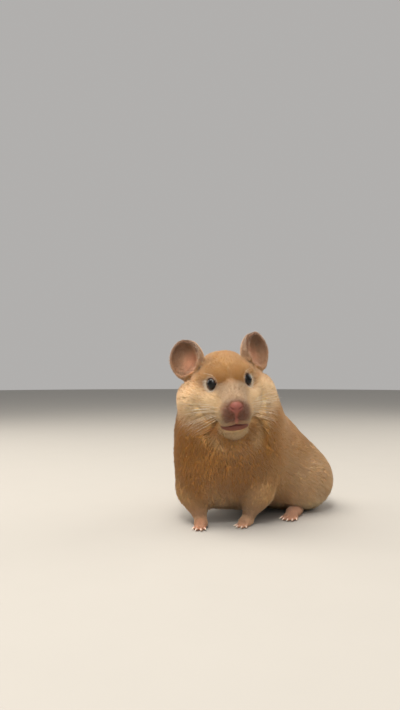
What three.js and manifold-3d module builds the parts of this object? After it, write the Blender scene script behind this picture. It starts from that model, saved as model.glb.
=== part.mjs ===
/**
 * Seated Syrian hamster, life size, head raised and turned to its own left.
 * Millimetres, +Z up, floor at z = 0. The rump lies toward +Y and the animal's left is +X.
 * The outer form is a smooth union of rounded lumps that reach to the tips of the coat.
 */
import * as THREE from "three";
import { mergeVertices } from "three/addons/utils/BufferGeometryUtils.js";
import Module from "manifold-3d";

const wasm = await Module();
wasm.setup();

// ---- shared sizes ----
const GAP = 0.3; // clearance between neighbouring pieces
const FAR = 200; // half side of the blocks that stand for half spaces
const SIDES = { right: -1, left: 1 };
const STAND = new THREE.Vector3(0, -32.07, 0); // moves the middle of the outline over the origin

// ---- head: centre of the eyes, turn, and points measured forward, left and up from its middle ----
const EYES_MIDDLE = new THREE.Vector3(12.5, -8.8, 76);
const HEAD_TURN = { yaw: 45, pitch: 14, roll: 7 };
const HEAD_MIDDLE = [4, 0, -4];
const EYE = { forward: 14, aside: 8.5, up: 3, radius: 3.35, socket: 1 };
const CRANIUM = { at: [0, 0, 0.6], radii: [18.6, 17, 14.2], blend: 5 };
const CHEEK = { at: [-1, 14.5, -9], radii: [14, 13, 13], blend: 7 };
const BRIDGE = { from: [12, 0, -2.6], to: [23.2, 0, -6.7], radii: [9.4, 7], blend: 5 };
const SNOUT = { at: [12.5, 7.2, -7.5], radii: [10, 7.4, 8], blend: 5 };
const LIP_PAD = { at: [21, 4.3, -11.3], radii: [7.2, 5.3, 6.5], blend: 3 };
const JAW = { from: [8, 0, -16], to: [20, 0, -19.9], radii: [8.3, 4.5], blend: 4, middle: [14, 0, -18] };
const CHIN = { at: [17.5, 0, -19.2], radii: [6.6, 7.8, 4.2], blend: 3 };
const MOUTH = { at: [24.2, 0, -17.3], radii: [4.2, 7.4, 0.6] };
const NOSE = { at: [28.2, 0, -5.6], radii: [2.7, 3, 2.4] };
const NOSTRIL = { at: [30.2, 1.5, -6.7], radius: 0.65 };

// ---- ears: an open bowl on a short root; the rim's plane leans outward and up ----
const EAR = {
  facing: 24, root: [-3, 14, 4], tip: [-11, 21.5, 20], middle: [-7, 19.6, 12.2], radii: [6, 10.2, 10.8],
  wall: 1.3, rim: 1.2, lean: { aside: 0.1, up: 0.18 }, base: [-4.5, 15.6, 5.2], baseRadii: [4.6, 6.8, 6],
};

// ---- trunk: each lump joins those before it over its blend width ----
const CHEST_YAW = 25;
const PELVIS = { at: [0, 55, 24], radii: [27.5, 31, 24.6], blend: 1 };
const BACK = { at: [0, 38, 37], radii: [25.5, 29, 22.5], blend: 10 };
const BELLY = { at: [0, 28, 27], radii: [27, 27, 25], blend: 10 };
const SADDLE = { at: [-2, 34, 50], radii: [18, 20, 13.5], blend: 10 };
const CHEST = { at: [-3, 9, 36], radii: [25, 28.5, 28], blend: 12 };
const BRISKET = { at: [-4, -1, 25], radii: [16, 17, 17], blend: 8 };
const SHOULDERS = { at: [-3.5, 14, 54], radii: [25, 29, 22], blend: 12 };
const HAUNCH = { at: [22, 54.5, 16.8], radii: [16.5, 22.5, 17.4], blend: 13 };
const NECK = { from: [-2, 14, 60], to: [-7, 0, -5], radii: [24, 19.5], blend: 12 };
const TRUNK_MIDDLE = new THREE.Vector3(0, 30, 34);
const TRUNK_POLE = new THREE.Vector3(0, -0.35, 1); // the wrap's pole, through rump and nape
const TAIL = { from: [0, 79, 9.5], to: [0, 86.4, 7], radii: [5.6, 2.6], blend: 1 };

// ---- legs: upper arm, forearm and foot of each side ----
const FORELEG = {
  blends: [8, 6], waist: 1, // widths of the joins; the forearm starts so much thinner than the elbow
  right: { shoulder: [-16, 6, 34], elbow: [-12, -8, 17], wrist: [-3.2, -13, 4.2],
    radii: [12, 8.3, 3.4], foot: [-0.9, -15.6], heading: 28 },
  left: { shoulder: [14, 16, 32], elbow: [19, 9, 17], wrist: [15.5, 4.8, 4.2],
    radii: [12, 7.4, 3.3], foot: [15.3, 2.2], heading: 8 },
};
const FOREFOOT = {
  palm: [4.6, 3.5, 2.7], lift: 2.1, toeRadius: 0.95, claw: 2,
  toes: [[-27, 6.2], [-9, 7.6], [9, 7.7], [27, 6.4]],
};
const HINDFOOT = {
  palm: [9.5, 4.2, 3.1], lift: 2.4, toeRadius: 1.1, claw: 2.4, aside: 25.5, along: 37, heading: 14,
  toes: [[-19, 12.6], [-9.5, 14.4], [0, 15], [9.5, 14.4], [19, 12.2]],
};
const FOREARM_MIDDLE = 0.35; // where the forearm is wrapped from, along elbow to wrist
const TOE = { rise: 0.85, start: 0.35, knuckle: 0.9 }; // toe's height in radii, start along its reach, arch
const CLAW = { radius: 0.5, droop: 14, clear: 0.1, up: 0.35 };

// ---- planes and rounded blocks that part the body ----
const NAPE_CUT = { through: [-18, 0, 4], normal: [-0.86, 0, -0.5] };
const THROAT_CUT = { through: [18, 0, -26.5], normal: [-0.06, 0, -1] };
const NECK_CUT = { through: new THREE.Vector3(0, 16, 57), normal: new THREE.Vector3(0.15, -0.5, 0.86) };
const HAUNCH_CUT = { aside: 30, along: 53, up: 15, radii: [17, 22.5, 21] };

// ---- fineness of the surfaces: steps round and from pole to pole ----
const FINE = { trunk: [38, 22], head: [32, 22], jaw: [14, 8], leg: [12, 10], tail: [8, 6] };
const ROUND = { eye: [12, 6], ear: [16, 8], nose: [10, 6], palm: [10, 6], nostril: [5, 4], cut: [24, 12] };
const ROD = { sides: 5, rings: 2 };
const HEAD_CROWD = 1.3; // above 1 draws the head's rings together toward the nose
const SLIDE = { steps: 160, share: 0.75, enough: 1e-4 }; // how a wrapped vertex nears the surface
const WELD = 1e-4;

// ---- colours ----
const finish = (name, color, roughness) =>
  Object.assign(new THREE.MeshStandardMaterial({ color, roughness, metalness: 0 }), { name });
const GOLDEN_COAT = finish("golden_coat", 0xb8793f, 0.85);
const CREAM_COAT = finish("cream_coat", 0xcba273, 0.85);
const PINK_SKIN = finish("pink_skin", 0xb98672, 0.6);
const EAR_SKIN = finish("ear_skin", 0x8d6650, 0.7);
const EYE_GLOSS = finish("eye_gloss", 0x0d0907, 0.08);
const CLAW_HORN = finish("claw_horn", 0xd9c4ae, 0.45);

const radians = THREE.MathUtils.degToRad;
const vector = (values) => new THREE.Vector3(...values);
/** The turn that takes one direction, of length 1, to another of any length. */
const turnTo = (from, to) => new THREE.Quaternion().setFromUnitVectors(from, to.clone().normalize());

/** A place and three directions: forward, left and up of an animal that faces -Y at yaw 0. */
class Frame {
  constructor(origin, { yaw = 0, pitch = 0, roll = 0 } = {}) {
    const [y, p, r] = [yaw, pitch, roll].map(radians);
    this.origin = origin.clone();
    this.forward = new THREE.Vector3(Math.sin(y) * Math.cos(p), -Math.cos(y) * Math.cos(p), -Math.sin(p));
    const level = new THREE.Vector3(Math.cos(y), Math.sin(y), 0);
    this.left = level.applyAxisAngle(this.forward, r);
    this.up = new THREE.Vector3().crossVectors(this.forward, this.left);
  }

  /** The point so far forward, left and up of the frame's origin. */
  at([f, l, u]) {
    return this.origin.clone()
      .addScaledVector(this.forward, f).addScaledVector(this.left, l).addScaledVector(this.up, u);
  }

  /** The turn that takes x, y, z to forward, left, up. */
  get matrix() {
    return new THREE.Matrix4().makeBasis(this.forward, this.left, this.up);
  }
}

/** An ellipsoid turned by a frame; its distance is exact on the surface and close to it nearby. */
class Lump {
  constructor(centre, radii, blend, matrix = new THREE.Matrix4()) {
    Object.assign(this, { centre, radii: vector(radii), blend, inverse: matrix.clone().invert() });
  }

  distance(point) {
    const q = point.clone().sub(this.centre).applyMatrix4(this.inverse).divide(this.radii);
    const k0 = q.length(), k1 = q.divide(this.radii).length();
    return (k0 * (k0 - 1)) / Math.max(k1, 1e-6);
  }
}

/** A limb whose radius runs evenly from one end to the other. */
class Limb {
  constructor(from, to, radii, blend) {
    Object.assign(this, { from, axis: to.clone().sub(from), radii, blend });
  }

  distance(point) {
    const q = point.clone().sub(this.from);
    const h = THREE.MathUtils.clamp(q.dot(this.axis) / this.axis.lengthSq(), 0, 1);
    return q.addScaledVector(this.axis, -h).length() - THREE.MathUtils.lerp(...this.radii, h);
  }
}

/** Distance to the smooth union of the lumps, each joined over its own blend width. */
const formDistance = (lumps, point) =>
  lumps.reduce((near, lump) => {
    const own = lump.distance(point);
    const h = Math.max(lump.blend - Math.abs(near - own), 0) / lump.blend;
    return Math.min(near, own) - (h * h * lump.blend) / 4;
  }, Infinity);

/** A manifold solid from a three.js geometry. */
function solid(geometry) {
  const bare = new THREE.BufferGeometry().setAttribute("position", geometry.getAttribute("position"));
  bare.setIndex(geometry.index);
  const merged = mergeVertices(bare, WELD);
  return new wasm.Manifold(new wasm.Mesh({
    numProp: 3,
    vertProperties: new Float32Array(merged.attributes.position.array),
    triVerts: new Uint32Array(merged.index.array),
  }));
}

/** A turned ellipsoid as a solid. */
function ball(centre, radii, [round, rows], matrix = new THREE.Matrix4()) {
  return solid(new THREE.SphereGeometry(1, round, rows).rotateX(Math.PI / 2).scale(...radii)
    .applyMatrix4(matrix).translate(...centre));
}

/** Everything on the side of a plane that its normal points away from. */
function behind(through, normal, swell = 0) {
  const turn = turnTo(new THREE.Vector3(0, 0, 1), normal);
  return solid(new THREE.BoxGeometry(2 * FAR, 2 * FAR, 2 * FAR).translate(0, 0, swell - FAR)
    .applyQuaternion(turn).translate(...through));
}

/** Draws a sphere tight round a form: each vertex slides out from the middle until it meets the surface. */
function wrap(lumps, middle, pole, [round, rows], { swell = 0, crowd = 1 } = {}) {
  const sphere = new THREE.SphereGeometry(1, round, rows);
  const place = sphere.getAttribute("position");
  const turn = turnTo(new THREE.Vector3(0, 1, 0), pole);
  const direction = new THREE.Vector3(), point = new THREE.Vector3();
  for (let i = 0; i < place.count; i += 1) {
    direction.fromBufferAttribute(place, i);
    const angle = Math.acos(THREE.MathUtils.clamp(direction.y, -1, 1));
    const crowded = Math.PI * (angle / Math.PI) ** crowd;
    direction.y = 0;
    if (direction.lengthSq() > 1e-12) direction.setLength(Math.sin(crowded));
    direction.y = Math.cos(crowded);
    direction.applyQuaternion(turn);
    let reach = 0;
    for (let step = 0; step < SLIDE.steps; step += 1) {
      const depth = swell - formDistance(lumps, point.copy(middle).addScaledVector(direction, reach));
      if (depth < SLIDE.enough) break;
      reach += SLIDE.share * depth;
    }
    place.setXYZ(i, ...point.copy(middle).addScaledVector(direction, reach));
  }
  return solid(sphere);
}

// ---- the forms ----
const level = new Frame(new THREE.Vector3(), HEAD_TURN);
const head = new Frame(EYES_MIDDLE, HEAD_TURN);
head.origin.addScaledVector(level.forward, -EYE.forward).addScaledVector(level.up, -EYE.up);
const turned = head.matrix;
// chest radii are given forward, left, up
const chestTurn = new Frame(new THREE.Vector3(), { yaw: CHEST_YAW }).matrix;
const both = (make) => Object.values(SIDES).map(make);
const mirror = ([f, l, u], s) => [f, s * l, u];

/** A lump on the body, and one or two on the head. */
const trunkLump = ({ at, radii, blend }, matrix) => new Lump(vector(at), radii, blend, matrix);
const headLump = ({ at, radii, blend }, s = 1) => new Lump(head.at(mirror(at, s)), radii, blend, turned);
const headLimb = ({ from, to, radii, blend }) => new Limb(head.at(from), head.at(to), radii, blend);

/** Upper arm and forearm of one side. */
function armLimbs(side) {
  const { shoulder, elbow, wrist, radii: [upper, middle, lower] } = FORELEG[side];
  return [
    new Limb(vector(shoulder), vector(elbow), [upper, middle], FORELEG.blends[0]),
    new Limb(vector(elbow), vector(wrist), [middle - FORELEG.waist, lower], FORELEG.blends[1]),
  ];
}

const trunkLumps = [
  ...[PELVIS, BACK, BELLY, SADDLE].map((lump) => trunkLump(lump)),
  trunkLump(CHEST, chestTurn),
  trunkLump(BRISKET),
  trunkLump(SHOULDERS, chestTurn),
  ...both((s) => trunkLump({ ...HAUNCH, at: [s * HAUNCH.at[0], ...HAUNCH.at.slice(1)] })),
  new Limb(vector(NECK.from), head.at(NECK.to), NECK.radii, NECK.blend),
];
const headLumps = [
  headLump(CRANIUM),
  ...both((s) => headLump(CHEEK, s)),
  headLimb(BRIDGE),
  ...both((s) => headLump(SNOUT, s)),
  ...both((s) => headLump(LIP_PAD, s)),
];
const jawLumps = [headLimb(JAW), headLump(CHIN)];
const upperArms = Object.keys(SIDES).map((side) => armLimbs(side)[0]);
const bodyLumps = [...trunkLumps, ...headLumps, ...upperArms];

// ---- the whole body, wrapped from its middle, and the head, wrapped from its own ----
const UP = new THREE.Vector3(0, 0, 1);
const floor = behind(new THREE.Vector3(), UP);
const headMiddle = head.at(HEAD_MIDDLE);
const wrapBody = (swell) => wrap(bodyLumps, TRUNK_MIDDLE, TRUNK_POLE, FINE.trunk, { swell });
const wrapHead = (swell, lumps) =>
  wrap(lumps, headMiddle, head.forward, FINE.head, { swell, crowd: HEAD_CROWD });
const wrapJaw = (swell) => wrap(jawLumps, head.at(JAW.middle), head.forward, FINE.jaw, { swell });
const [body, swollenBody] = [0, GAP].map(wrapBody);
const skullLumps = [...trunkLumps, ...headLumps];
const mouth = ball(head.at(MOUTH.at), MOUTH.radii, ROUND.nose, turned);

const pieces = new Map();
/** Keeps a piece, cut level with the floor, under its name. */
const keep = (name, piece, material) => pieces.set(name, { piece: piece.subtract(floor), material });
const without = (piece, ...others) => others.reduce((rest, other) => rest.subtract(other), piece);
const grown = (radii, swell) => radii.map((r) => r + swell);

// ---- nose, eyes and lower jaw ----
const eyeBall = (s, swell) =>
  ball(head.at([EYE.forward, s * EYE.aside, EYE.up]), Array(3).fill(EYE.radius + swell), ROUND.eye, turned);
Object.entries(SIDES).forEach(([side, s]) => keep(`eye_${side}`, eyeBall(s, 0), EYE_GLOSS));
const nostrils = both((s) =>
  ball(head.at(mirror(NOSTRIL.at, s)), Array(3).fill(NOSTRIL.radius), ROUND.nostril));
const noseBall = (swell) => ball(head.at(NOSE.at), grown(NOSE.radii, swell), ROUND.nose, turned);
keep("nose", without(noseBall(0), ...nostrils), PINK_SKIN);
keep("lower_jaw", without(wrapJaw(0), wrapHead(GAP, headLumps), mouth), CREAM_COAT);

/** One ear: the bowl, open to the front, on the root that carries it. */
function ear(s) {
  const [tip, root, middle, base] = [EAR.tip, EAR.root, EAR.middle, EAR.base]
    .map((place) => head.at(mirror(place, s)));
  const up = tip.clone().sub(root).normalize();
  const facing = new Frame(root, { ...HEAD_TURN, yaw: HEAD_TURN.yaw + s * EAR.facing }).forward;
  const front = facing.addScaledVector(up, -facing.dot(up)).normalize();
  const across = new THREE.Vector3().crossVectors(up, front);
  const turn = new THREE.Matrix4().makeBasis(front, across, up);
  const rimNormal = front.clone()
    .addScaledVector(across, s * EAR.lean.aside).addScaledVector(up, EAR.lean.up);
  const open = behind(middle.clone().addScaledVector(front, EAR.rim), rimNormal);
  return ball(middle, EAR.radii, ROUND.ear, turn)
    .subtract(ball(middle, grown(EAR.radii, -EAR.wall), ROUND.ear, turn))
    .intersect(open)
    .add(ball(base, EAR.baseRadii, ROUND.palm, turn));
}
const swollenSkull = wrapHead(GAP, skullLumps);
Object.entries(SIDES).forEach(([side, s]) => keep(`ear_${side}`, ear(s).subtract(swollenSkull), EAR_SKIN));

// ---- head, neck, haunches and trunk, parted from the one body ----
const headBlock = (swell) => [NAPE_CUT, THROAT_CUT]
  .map(({ through, normal }) => behind(head.at(through), vector(normal).applyMatrix4(turned), swell))
  .reduce((block, half) => block.intersect(half));
const haunchBlock = (s, swell) => ball(
  vector([s * HAUNCH_CUT.aside, HAUNCH_CUT.along, HAUNCH_CUT.up]), grown(HAUNCH_CUT.radii, swell), ROUND.cut);
const holes = [...both((s) => eyeBall(s, EYE.socket)), noseBall(GAP), mouth, wrapJaw(GAP)];
const skull = wrapHead(0, skullLumps).intersect(headBlock(0));
keep("head", without(skull, ...holes), GOLDEN_COAT);
const belowHead = without(body, headBlock(GAP), wrapJaw(GAP));
keep("neck", belowHead.subtract(behind(NECK_CUT.through, NECK_CUT.normal, GAP)), GOLDEN_COAT);

// ---- tail, forelegs and feet, each cut round by what it grows from ----
const [tailStart, tailEnd] = [TAIL.from, TAIL.to].map(vector);
const tail = wrap([new Limb(tailStart, tailEnd, TAIL.radii, TAIL.blend)],
  tailStart, tailEnd.clone().sub(tailStart), FINE.tail);
keep("tail", tail.subtract(swollenBody), PINK_SKIN);

const foreleg = (side, swell) => {
  const elbow = vector(FORELEG[side].elbow), wrist = vector(FORELEG[side].wrist);
  const middle = elbow.clone().lerp(wrist, FOREARM_MIDDLE);
  return wrap([armLimbs(side)[1]], middle, wrist.sub(elbow), FINE.leg, { swell });
};

/** Sole and toes of a foot, and its claws, from the sizes of that kind of foot. */
function foot({ palm, lift, toes, toeRadius, claw }, place, heading) {
  const frame = new Frame(new THREE.Vector3(place[0], place[1], 0), { yaw: heading });
  const parts = { sole: ball(frame.at([0, 0, lift]), palm, ROUND.palm, frame.matrix), claws: [] };
  toes.forEach(([fan, reach]) => {
    const toe = new Frame(frame.origin, { yaw: heading + fan });
    const rise = toeRadius * TOE.rise;
    const heel = toe.at([reach * TOE.start, 0, rise + TOE.knuckle]);
    const end = toe.at([reach - toeRadius, 0, rise]);
    parts.sole = parts.sole.add(capsule(heel, end, toeRadius));
    const clawRoot = toe.at([reach + CLAW.clear, 0, rise + CLAW.up]);
    const nail = new Frame(clawRoot, { yaw: heading + fan, pitch: CLAW.droop });
    const cone = new THREE.ConeGeometry(CLAW.radius, claw, ROD.sides).rotateZ(-Math.PI / 2)
      .translate(claw / 2, 0, 0).applyMatrix4(nail.matrix).translate(...nail.origin);
    parts.claws.push(solid(cone));
  });
  return parts;
}

/** A rounded rod between two points. */
function capsule(from, to, radius) {
  const axis = to.clone().sub(from);
  const turn = turnTo(new THREE.Vector3(0, 1, 0), axis);
  return solid(new THREE.CapsuleGeometry(radius, axis.length(), ROD.rings, ROD.sides).applyQuaternion(turn)
    .translate(...from.clone().add(to).multiplyScalar(0.5)));
}

function keepFoot(name, { sole, claws }, ...above) {
  keep(name, without(sole, ...above), PINK_SKIN);
  claws.forEach((claw, i) => keep(`claw_${name}_${i + 1}`, claw, CLAW_HORN));
}

const haunches = [];
Object.entries(SIDES).forEach(([side, s]) => {
  const { foot: place, heading } = FORELEG[side];
  keep(`foreleg_${side}`, foreleg(side, 0).subtract(swollenBody), GOLDEN_COAT);
  keepFoot(`forefoot_${side}`, foot(FOREFOOT, place, heading), foreleg(side, GAP));
  const hind = foot(HINDFOOT, [s * HINDFOOT.aside, HINDFOOT.along], s * HINDFOOT.heading);
  keepFoot(`hindfoot_${side}`, hind, swollenBody);
  keep(`hindleg_${side}`, body.intersect(haunchBlock(s, 0)), GOLDEN_COAT);
  haunches.push(haunchBlock(s, GAP));
});
const belowNeck = belowHead.intersect(behind(NECK_CUT.through, NECK_CUT.normal));
keep("trunk", without(belowNeck, ...haunches), GOLDEN_COAT);

// ---- the model ----
const group = new THREE.Group();
group.name = "hamster";
pieces.forEach(({ piece, material }, name) => {
  const { numProp, vertProperties, triVerts } = piece.getMesh();
  const geometry = new THREE.BufferGeometry()
    .setAttribute("position", new THREE.BufferAttribute(vertProperties, numProp))
    .setIndex(new THREE.BufferAttribute(triVerts, 1)).translate(...STAND);
  const mesh = new THREE.Mesh(geometry, material);
  mesh.name = name;
  group.add(mesh);
});

export default group;
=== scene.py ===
"""A seated Syrian hamster, life size: one skin under a coat of solid tufts, with eyes, claws and whiskers.

The forms are worked out in millimetres on the ground plan of the solids, with the floor at z = 0 and the
rump toward +y. Every mesh is handed over in metres, in the frame of the solids.
"""

import logging
import math
from dataclasses import Field, dataclass, field
from enum import Enum
from functools import reduce
from itertools import product

import bpy
import numpy as np
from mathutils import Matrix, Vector


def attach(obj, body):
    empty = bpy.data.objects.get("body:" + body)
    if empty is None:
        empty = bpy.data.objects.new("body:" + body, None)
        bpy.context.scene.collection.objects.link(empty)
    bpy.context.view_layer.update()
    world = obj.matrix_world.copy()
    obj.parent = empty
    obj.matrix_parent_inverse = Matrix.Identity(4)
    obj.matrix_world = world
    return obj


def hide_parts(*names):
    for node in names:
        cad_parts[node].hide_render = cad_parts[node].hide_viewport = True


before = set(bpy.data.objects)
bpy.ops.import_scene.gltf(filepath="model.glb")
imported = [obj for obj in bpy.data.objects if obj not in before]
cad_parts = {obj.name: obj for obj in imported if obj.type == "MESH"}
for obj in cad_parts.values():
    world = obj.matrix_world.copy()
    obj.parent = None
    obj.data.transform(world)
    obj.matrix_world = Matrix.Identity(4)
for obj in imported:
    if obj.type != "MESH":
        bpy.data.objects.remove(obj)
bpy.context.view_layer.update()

log = logging.getLogger("hamster")
Array = np.ndarray
MM = 0.001
STAND = np.array([0.0, -32.07, 0.0])  # moves the middle of the outline over the origin
BODY = "root"
SEED = 1839
TINY = 1e-6  # keeps a divisor off zero
UP = np.array([0.0, 0.0, 1.0])
Point = tuple[float, float, float]
Span = tuple[float, float]


# ---------------------------------------------------------------------------------------------
# Small helpers on arrays
# ---------------------------------------------------------------------------------------------

def unit(vectors: Array) -> Array:
    """Vectors scaled to length one: v / |v|."""
    return vectors / np.maximum(np.linalg.norm(vectors, axis=-1, keepdims=True), 1e-9)


def dot(first: Array, second: Array) -> Array:
    """Row-by-row dot product, kept as a column."""
    return (first * second).sum(-1, keepdims=True)


def ramp(values: Array, start: float, end: float) -> Array:
    """Smooth step from 0 at start to 1 at end: t²(3 − 2t). Start may be above end."""
    t = np.clip((values - start) / (end - start), 0.0, 1.0)
    return t * t * (3.0 - 2.0 * t)


def linear(red: float, green: float, blue: float) -> Array:
    """A display colour, 0 to 1, as linear light: c^2.2."""
    return np.array([red, green, blue]) ** 2.2


def oval(place: tuple[Array, ...], centre: tuple[float, ...], radii: tuple[float, ...]) -> Array:
    """How far out each place lies in an oval: |(p − c) / r|, which is 1 at its edge."""
    return reduce(np.hypot, [(p - c) / r for p, c, r in zip(place, centre, radii)])


def scatter(cells: Array, salt: int) -> Array:
    """Three even numbers from 0 to 1 for each lattice cell, the same on each run.

    The fraction of a large sine of a mix of the cell's three whole numbers.

    Args:
        cells: (n, 3) whole numbers.
        salt: chooses another set of numbers.

    Returns:
        (n, 3) numbers.
    """
    mix = np.array([[127.1, 311.7, 74.7], [269.5, 183.3, 246.1], [113.5, 271.9, 124.6]])
    value = np.sin(cells @ mix.T + salt * 17.17) * 43758.5453
    return value - np.floor(value)


def drift(points: Array, size: float, salt: int) -> Array:
    """Soft noise from −1 to 1: lattice values joined by smooth steps along the three axes.

    Args:
        points: (n, 3) places in millimetres.
        size: lattice spacing in millimetres.
        salt: chooses another pattern.

    Returns:
        (n, 3) noise values.
    """
    cell = np.floor(points / size)
    part = points / size - cell
    part = part * part * (3.0 - 2.0 * part)
    total = np.zeros_like(points)
    for corner in product((0, 1), repeat=3):
        share = np.prod(np.where(np.array(corner) == 1, part, 1.0 - part), axis=1, keepdims=True)
        total += share * scatter(cell + corner, salt)
    return 2.0 * total - 1.0


# ---------------------------------------------------------------------------------------------
# Shapes: each gives its distance to points, for the coat's outer form and for the skin inside it
# ---------------------------------------------------------------------------------------------

@dataclass(frozen=True)
class Stance:
    """A place with forward, left and up directions, of an animal that faces −y at yaw 0."""

    origin: Point = (0.0, 0.0, 0.0)
    yaw: float = 0.0
    pitch: float = 0.0
    roll: float = 0.0

    @property
    def turn(self) -> Array:
        """Columns forward, left, up: yaw about z, nose down by pitch, left side up by roll.

        Returns:
            (3, 3) directions.
        """
        y, p, r = (math.radians(a) for a in (self.yaw, self.pitch, self.roll))
        forward = np.array([math.sin(y) * math.cos(p), -math.cos(y) * math.cos(p), -math.sin(p)])
        level = np.array([math.cos(y), math.sin(y), 0.0])
        raised = np.cross(forward, level)
        left = level * math.cos(r) + raised * math.sin(r)
        return np.stack([forward, left, np.cross(forward, left)], axis=1)

    def at(self, point: Point) -> Array:
        """The place so far forward, left and up of the origin."""
        return np.asarray(self.origin) + self.turn @ np.asarray(point, float)

    def along(self, direction: Point) -> Array:
        """A direction given forward, left and up, as a unit vector."""
        return unit(self.turn @ np.asarray(direction, float))

    def local(self, points: Array) -> Array:
        """Places as forward, left and up of the origin."""
        return (points - np.asarray(self.origin)) @ self.turn


def ellipsoid(offsets: tuple[Array, ...], radii: Point) -> Array:
    """Distance to an ellipsoid: k0 (k0 − 1) / k1, with k0 = |q / r| and k1 = |q / r²|.

    Args:
        offsets: the distances q from its middle along each of its axes.
        radii: the radii r on those axes.

    Returns:
        The distances, negative inside.
    """
    near = far = 0.0
    for radius, offset in zip(radii, offsets):
        q = offset / radius
        near = near + q * q
        far = far + (q / radius) ** 2
    near = np.sqrt(near)
    return near * (near - 1.0) / np.maximum(np.sqrt(far), TINY)


def girth(turn: Array, radii: Point) -> Array:
    """Half sides of the box round a turned ellipsoid: the root of the summed (t r)²."""
    return np.sqrt(((turn * np.asarray(radii)) ** 2).sum(1))


class Shape:
    """One of the shapes that are folded into a form, with the width of its soft join."""

    blend: float

    def box(self) -> tuple[Array, Array]:
        """Middle and half sides of a box round the shape."""
        raise NotImplementedError

    def distance(self, x: Array, y: Array, z: Array, skin: bool) -> Array:
        """How far outside the shape each point lies.

        Args:
            x: places along x, which go together with y and z or span a grid with them.
            y: places along y.
            z: places along z.
            skin: True for the skin, False for the outer form of the coat over it.

        Returns:
            Distances, negative inside.
        """
        raise NotImplementedError


@dataclass(frozen=True, eq=False)
class Lump(Shape):
    """A turned ellipsoid, whose skin lies deeper than its coat by the inset."""

    centre: Array
    radii: Point
    blend: float
    inset: float = 0.0
    turn: Array = field(default_factory=lambda: np.eye(3))

    def box(self) -> tuple[Array, Array]:
        """Middle and half sides of a box round the shape."""
        return np.asarray(self.centre, float), girth(self.turn, self.radii)

    def distance(self, x: Array, y: Array, z: Array, skin: bool) -> Array:
        """Distance of each point, with the inset added for the skin."""
        x, y, z = x - self.centre[0], y - self.centre[1], z - self.centre[2]
        offsets = tuple(x * c[0] + y * c[1] + z * c[2] for c in self.turn.T)
        return ellipsoid(offsets, self.radii) + (self.inset if skin else 0.0)


@dataclass(frozen=True, eq=False)
class Limb(Shape):
    """A rod with round ends whose radius runs evenly from one end to the other."""

    start: Array
    end: Array
    radii: tuple[float, float]
    blend: float
    insets: tuple[float, float] = (0.0, 0.0)

    def box(self) -> tuple[Array, Array]:
        """Middle and half sides of a box round the shape."""
        return (self.start + self.end) / 2, np.abs(self.end - self.start) / 2 + max(self.radii)

    def share(self, x: Array, y: Array, z: Array) -> Array:
        """How far along the rod the nearest point lies, 0 to 1."""
        axis = self.end - self.start
        x, y, z = x - self.start[0], y - self.start[1], z - self.start[2]
        return np.clip((x * axis[0] + y * axis[1] + z * axis[2]) / (axis @ axis), 0.0, 1.0)

    def distance(self, x: Array, y: Array, z: Array, skin: bool) -> Array:
        """Distance to the rod's middle line less the radius there, which for the skin is less by the inset.

        Args:
            x, y, z: places along the three axes.
            skin: True for the skin.

        Returns:
            Distances, negative inside.
        """
        h = self.share(x, y, z)
        axis = self.end - self.start
        gap = sum((v - s - h * a) ** 2 for v, s, a in zip((x, y, z), self.start, axis))
        near, far = np.subtract(self.radii, self.insets) if skin else self.radii
        return np.sqrt(gap) - (near + (far - near) * h)


@dataclass(frozen=True, eq=False)
class Ring(Shape):
    """A rounded ring about an axis: √((ρ − R)² + h²) − r, with ρ from the axis and h along it."""

    centre: Array
    axis: Array
    major: float
    minor: float
    blend: float

    def box(self) -> tuple[Array, Array]:
        """Middle and half sides of a box round the shape."""
        return self.centre, np.full(3, self.major + self.minor)

    def distance(self, x: Array, y: Array, z: Array, skin: bool) -> Array:
        """Distance of each point to the ring, the same for skin and coat.

        Args:
            x, y, z: places along the three axes.
            skin: not used.

        Returns:
            Distances, negative inside.
        """
        x, y, z = x - self.centre[0], y - self.centre[1], z - self.centre[2]
        h = x * self.axis[0] + y * self.axis[1] + z * self.axis[2]
        across = np.sqrt(np.maximum(x * x + y * y + z * z - h * h, 0.0))
        return np.sqrt((across - self.major) ** 2 + h * h) - self.minor


@dataclass(frozen=True, eq=False)
class Auricle(Shape):
    """An ear's cup, or the hollow in it: a waved ellipsoid, which the cup keeps behind its rim's plane.

    The height toward the front is lessened by roll · exp(−((s − inner) / 2)²) and by
    ripple · sin(s / 2 + u / 3), with s outward from the head and u up. So the inner edge rolls forward and
    the wall is uneven.
    """

    centre: Array
    radii: Point
    turn: Array
    sign: int
    blend: float
    rim: float | None = None
    lean: tuple[float, float] = (0.10, 0.18)
    roll: float = 1.5
    inner: float = -6.4
    ripple: float = 0.45
    edge: float = 0.6

    def box(self) -> tuple[Array, Array]:
        """Middle and half sides of a box round the shape."""
        return self.centre, girth(self.turn, self.radii) + self.roll

    def distance(self, x: Array, y: Array, z: Array, skin: bool) -> Array:
        """Soft maximum of the waved ellipsoid's distance and the height over the rim's plane.

        Args:
            x, y, z: places along the three axes.
            skin: not used.

        Returns:
            Distances, negative inside.
        """
        x, y, z = x - self.centre[0], y - self.centre[1], z - self.centre[2]
        front, side, up = (x * c[0] + y * c[1] + z * c[2] for c in self.turn.T)
        side = side * self.sign
        front = front - self.roll * np.exp(-((side - self.inner) / 2.0) ** 2)
        front = front - self.ripple * np.sin(side / 2 + up / 3)
        own = ellipsoid((front, side, up), self.radii)
        if self.rim is None:
            return own
        plane = (front + self.lean[0] * side + self.lean[1] * up - self.rim) / math.hypot(1.0, *self.lean)
        return carve(own, -plane, self.edge)


def fold(near: Array, own: Array, blend: float) -> Array:
    """Smooth union: min(a, b) − h² k / 4, with h = max(k − |a − b|, 0) / k."""
    h = np.maximum(blend - np.abs(near - own), 0.0) / blend
    return np.minimum(near, own) - h * h * (blend / 4.0)


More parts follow.
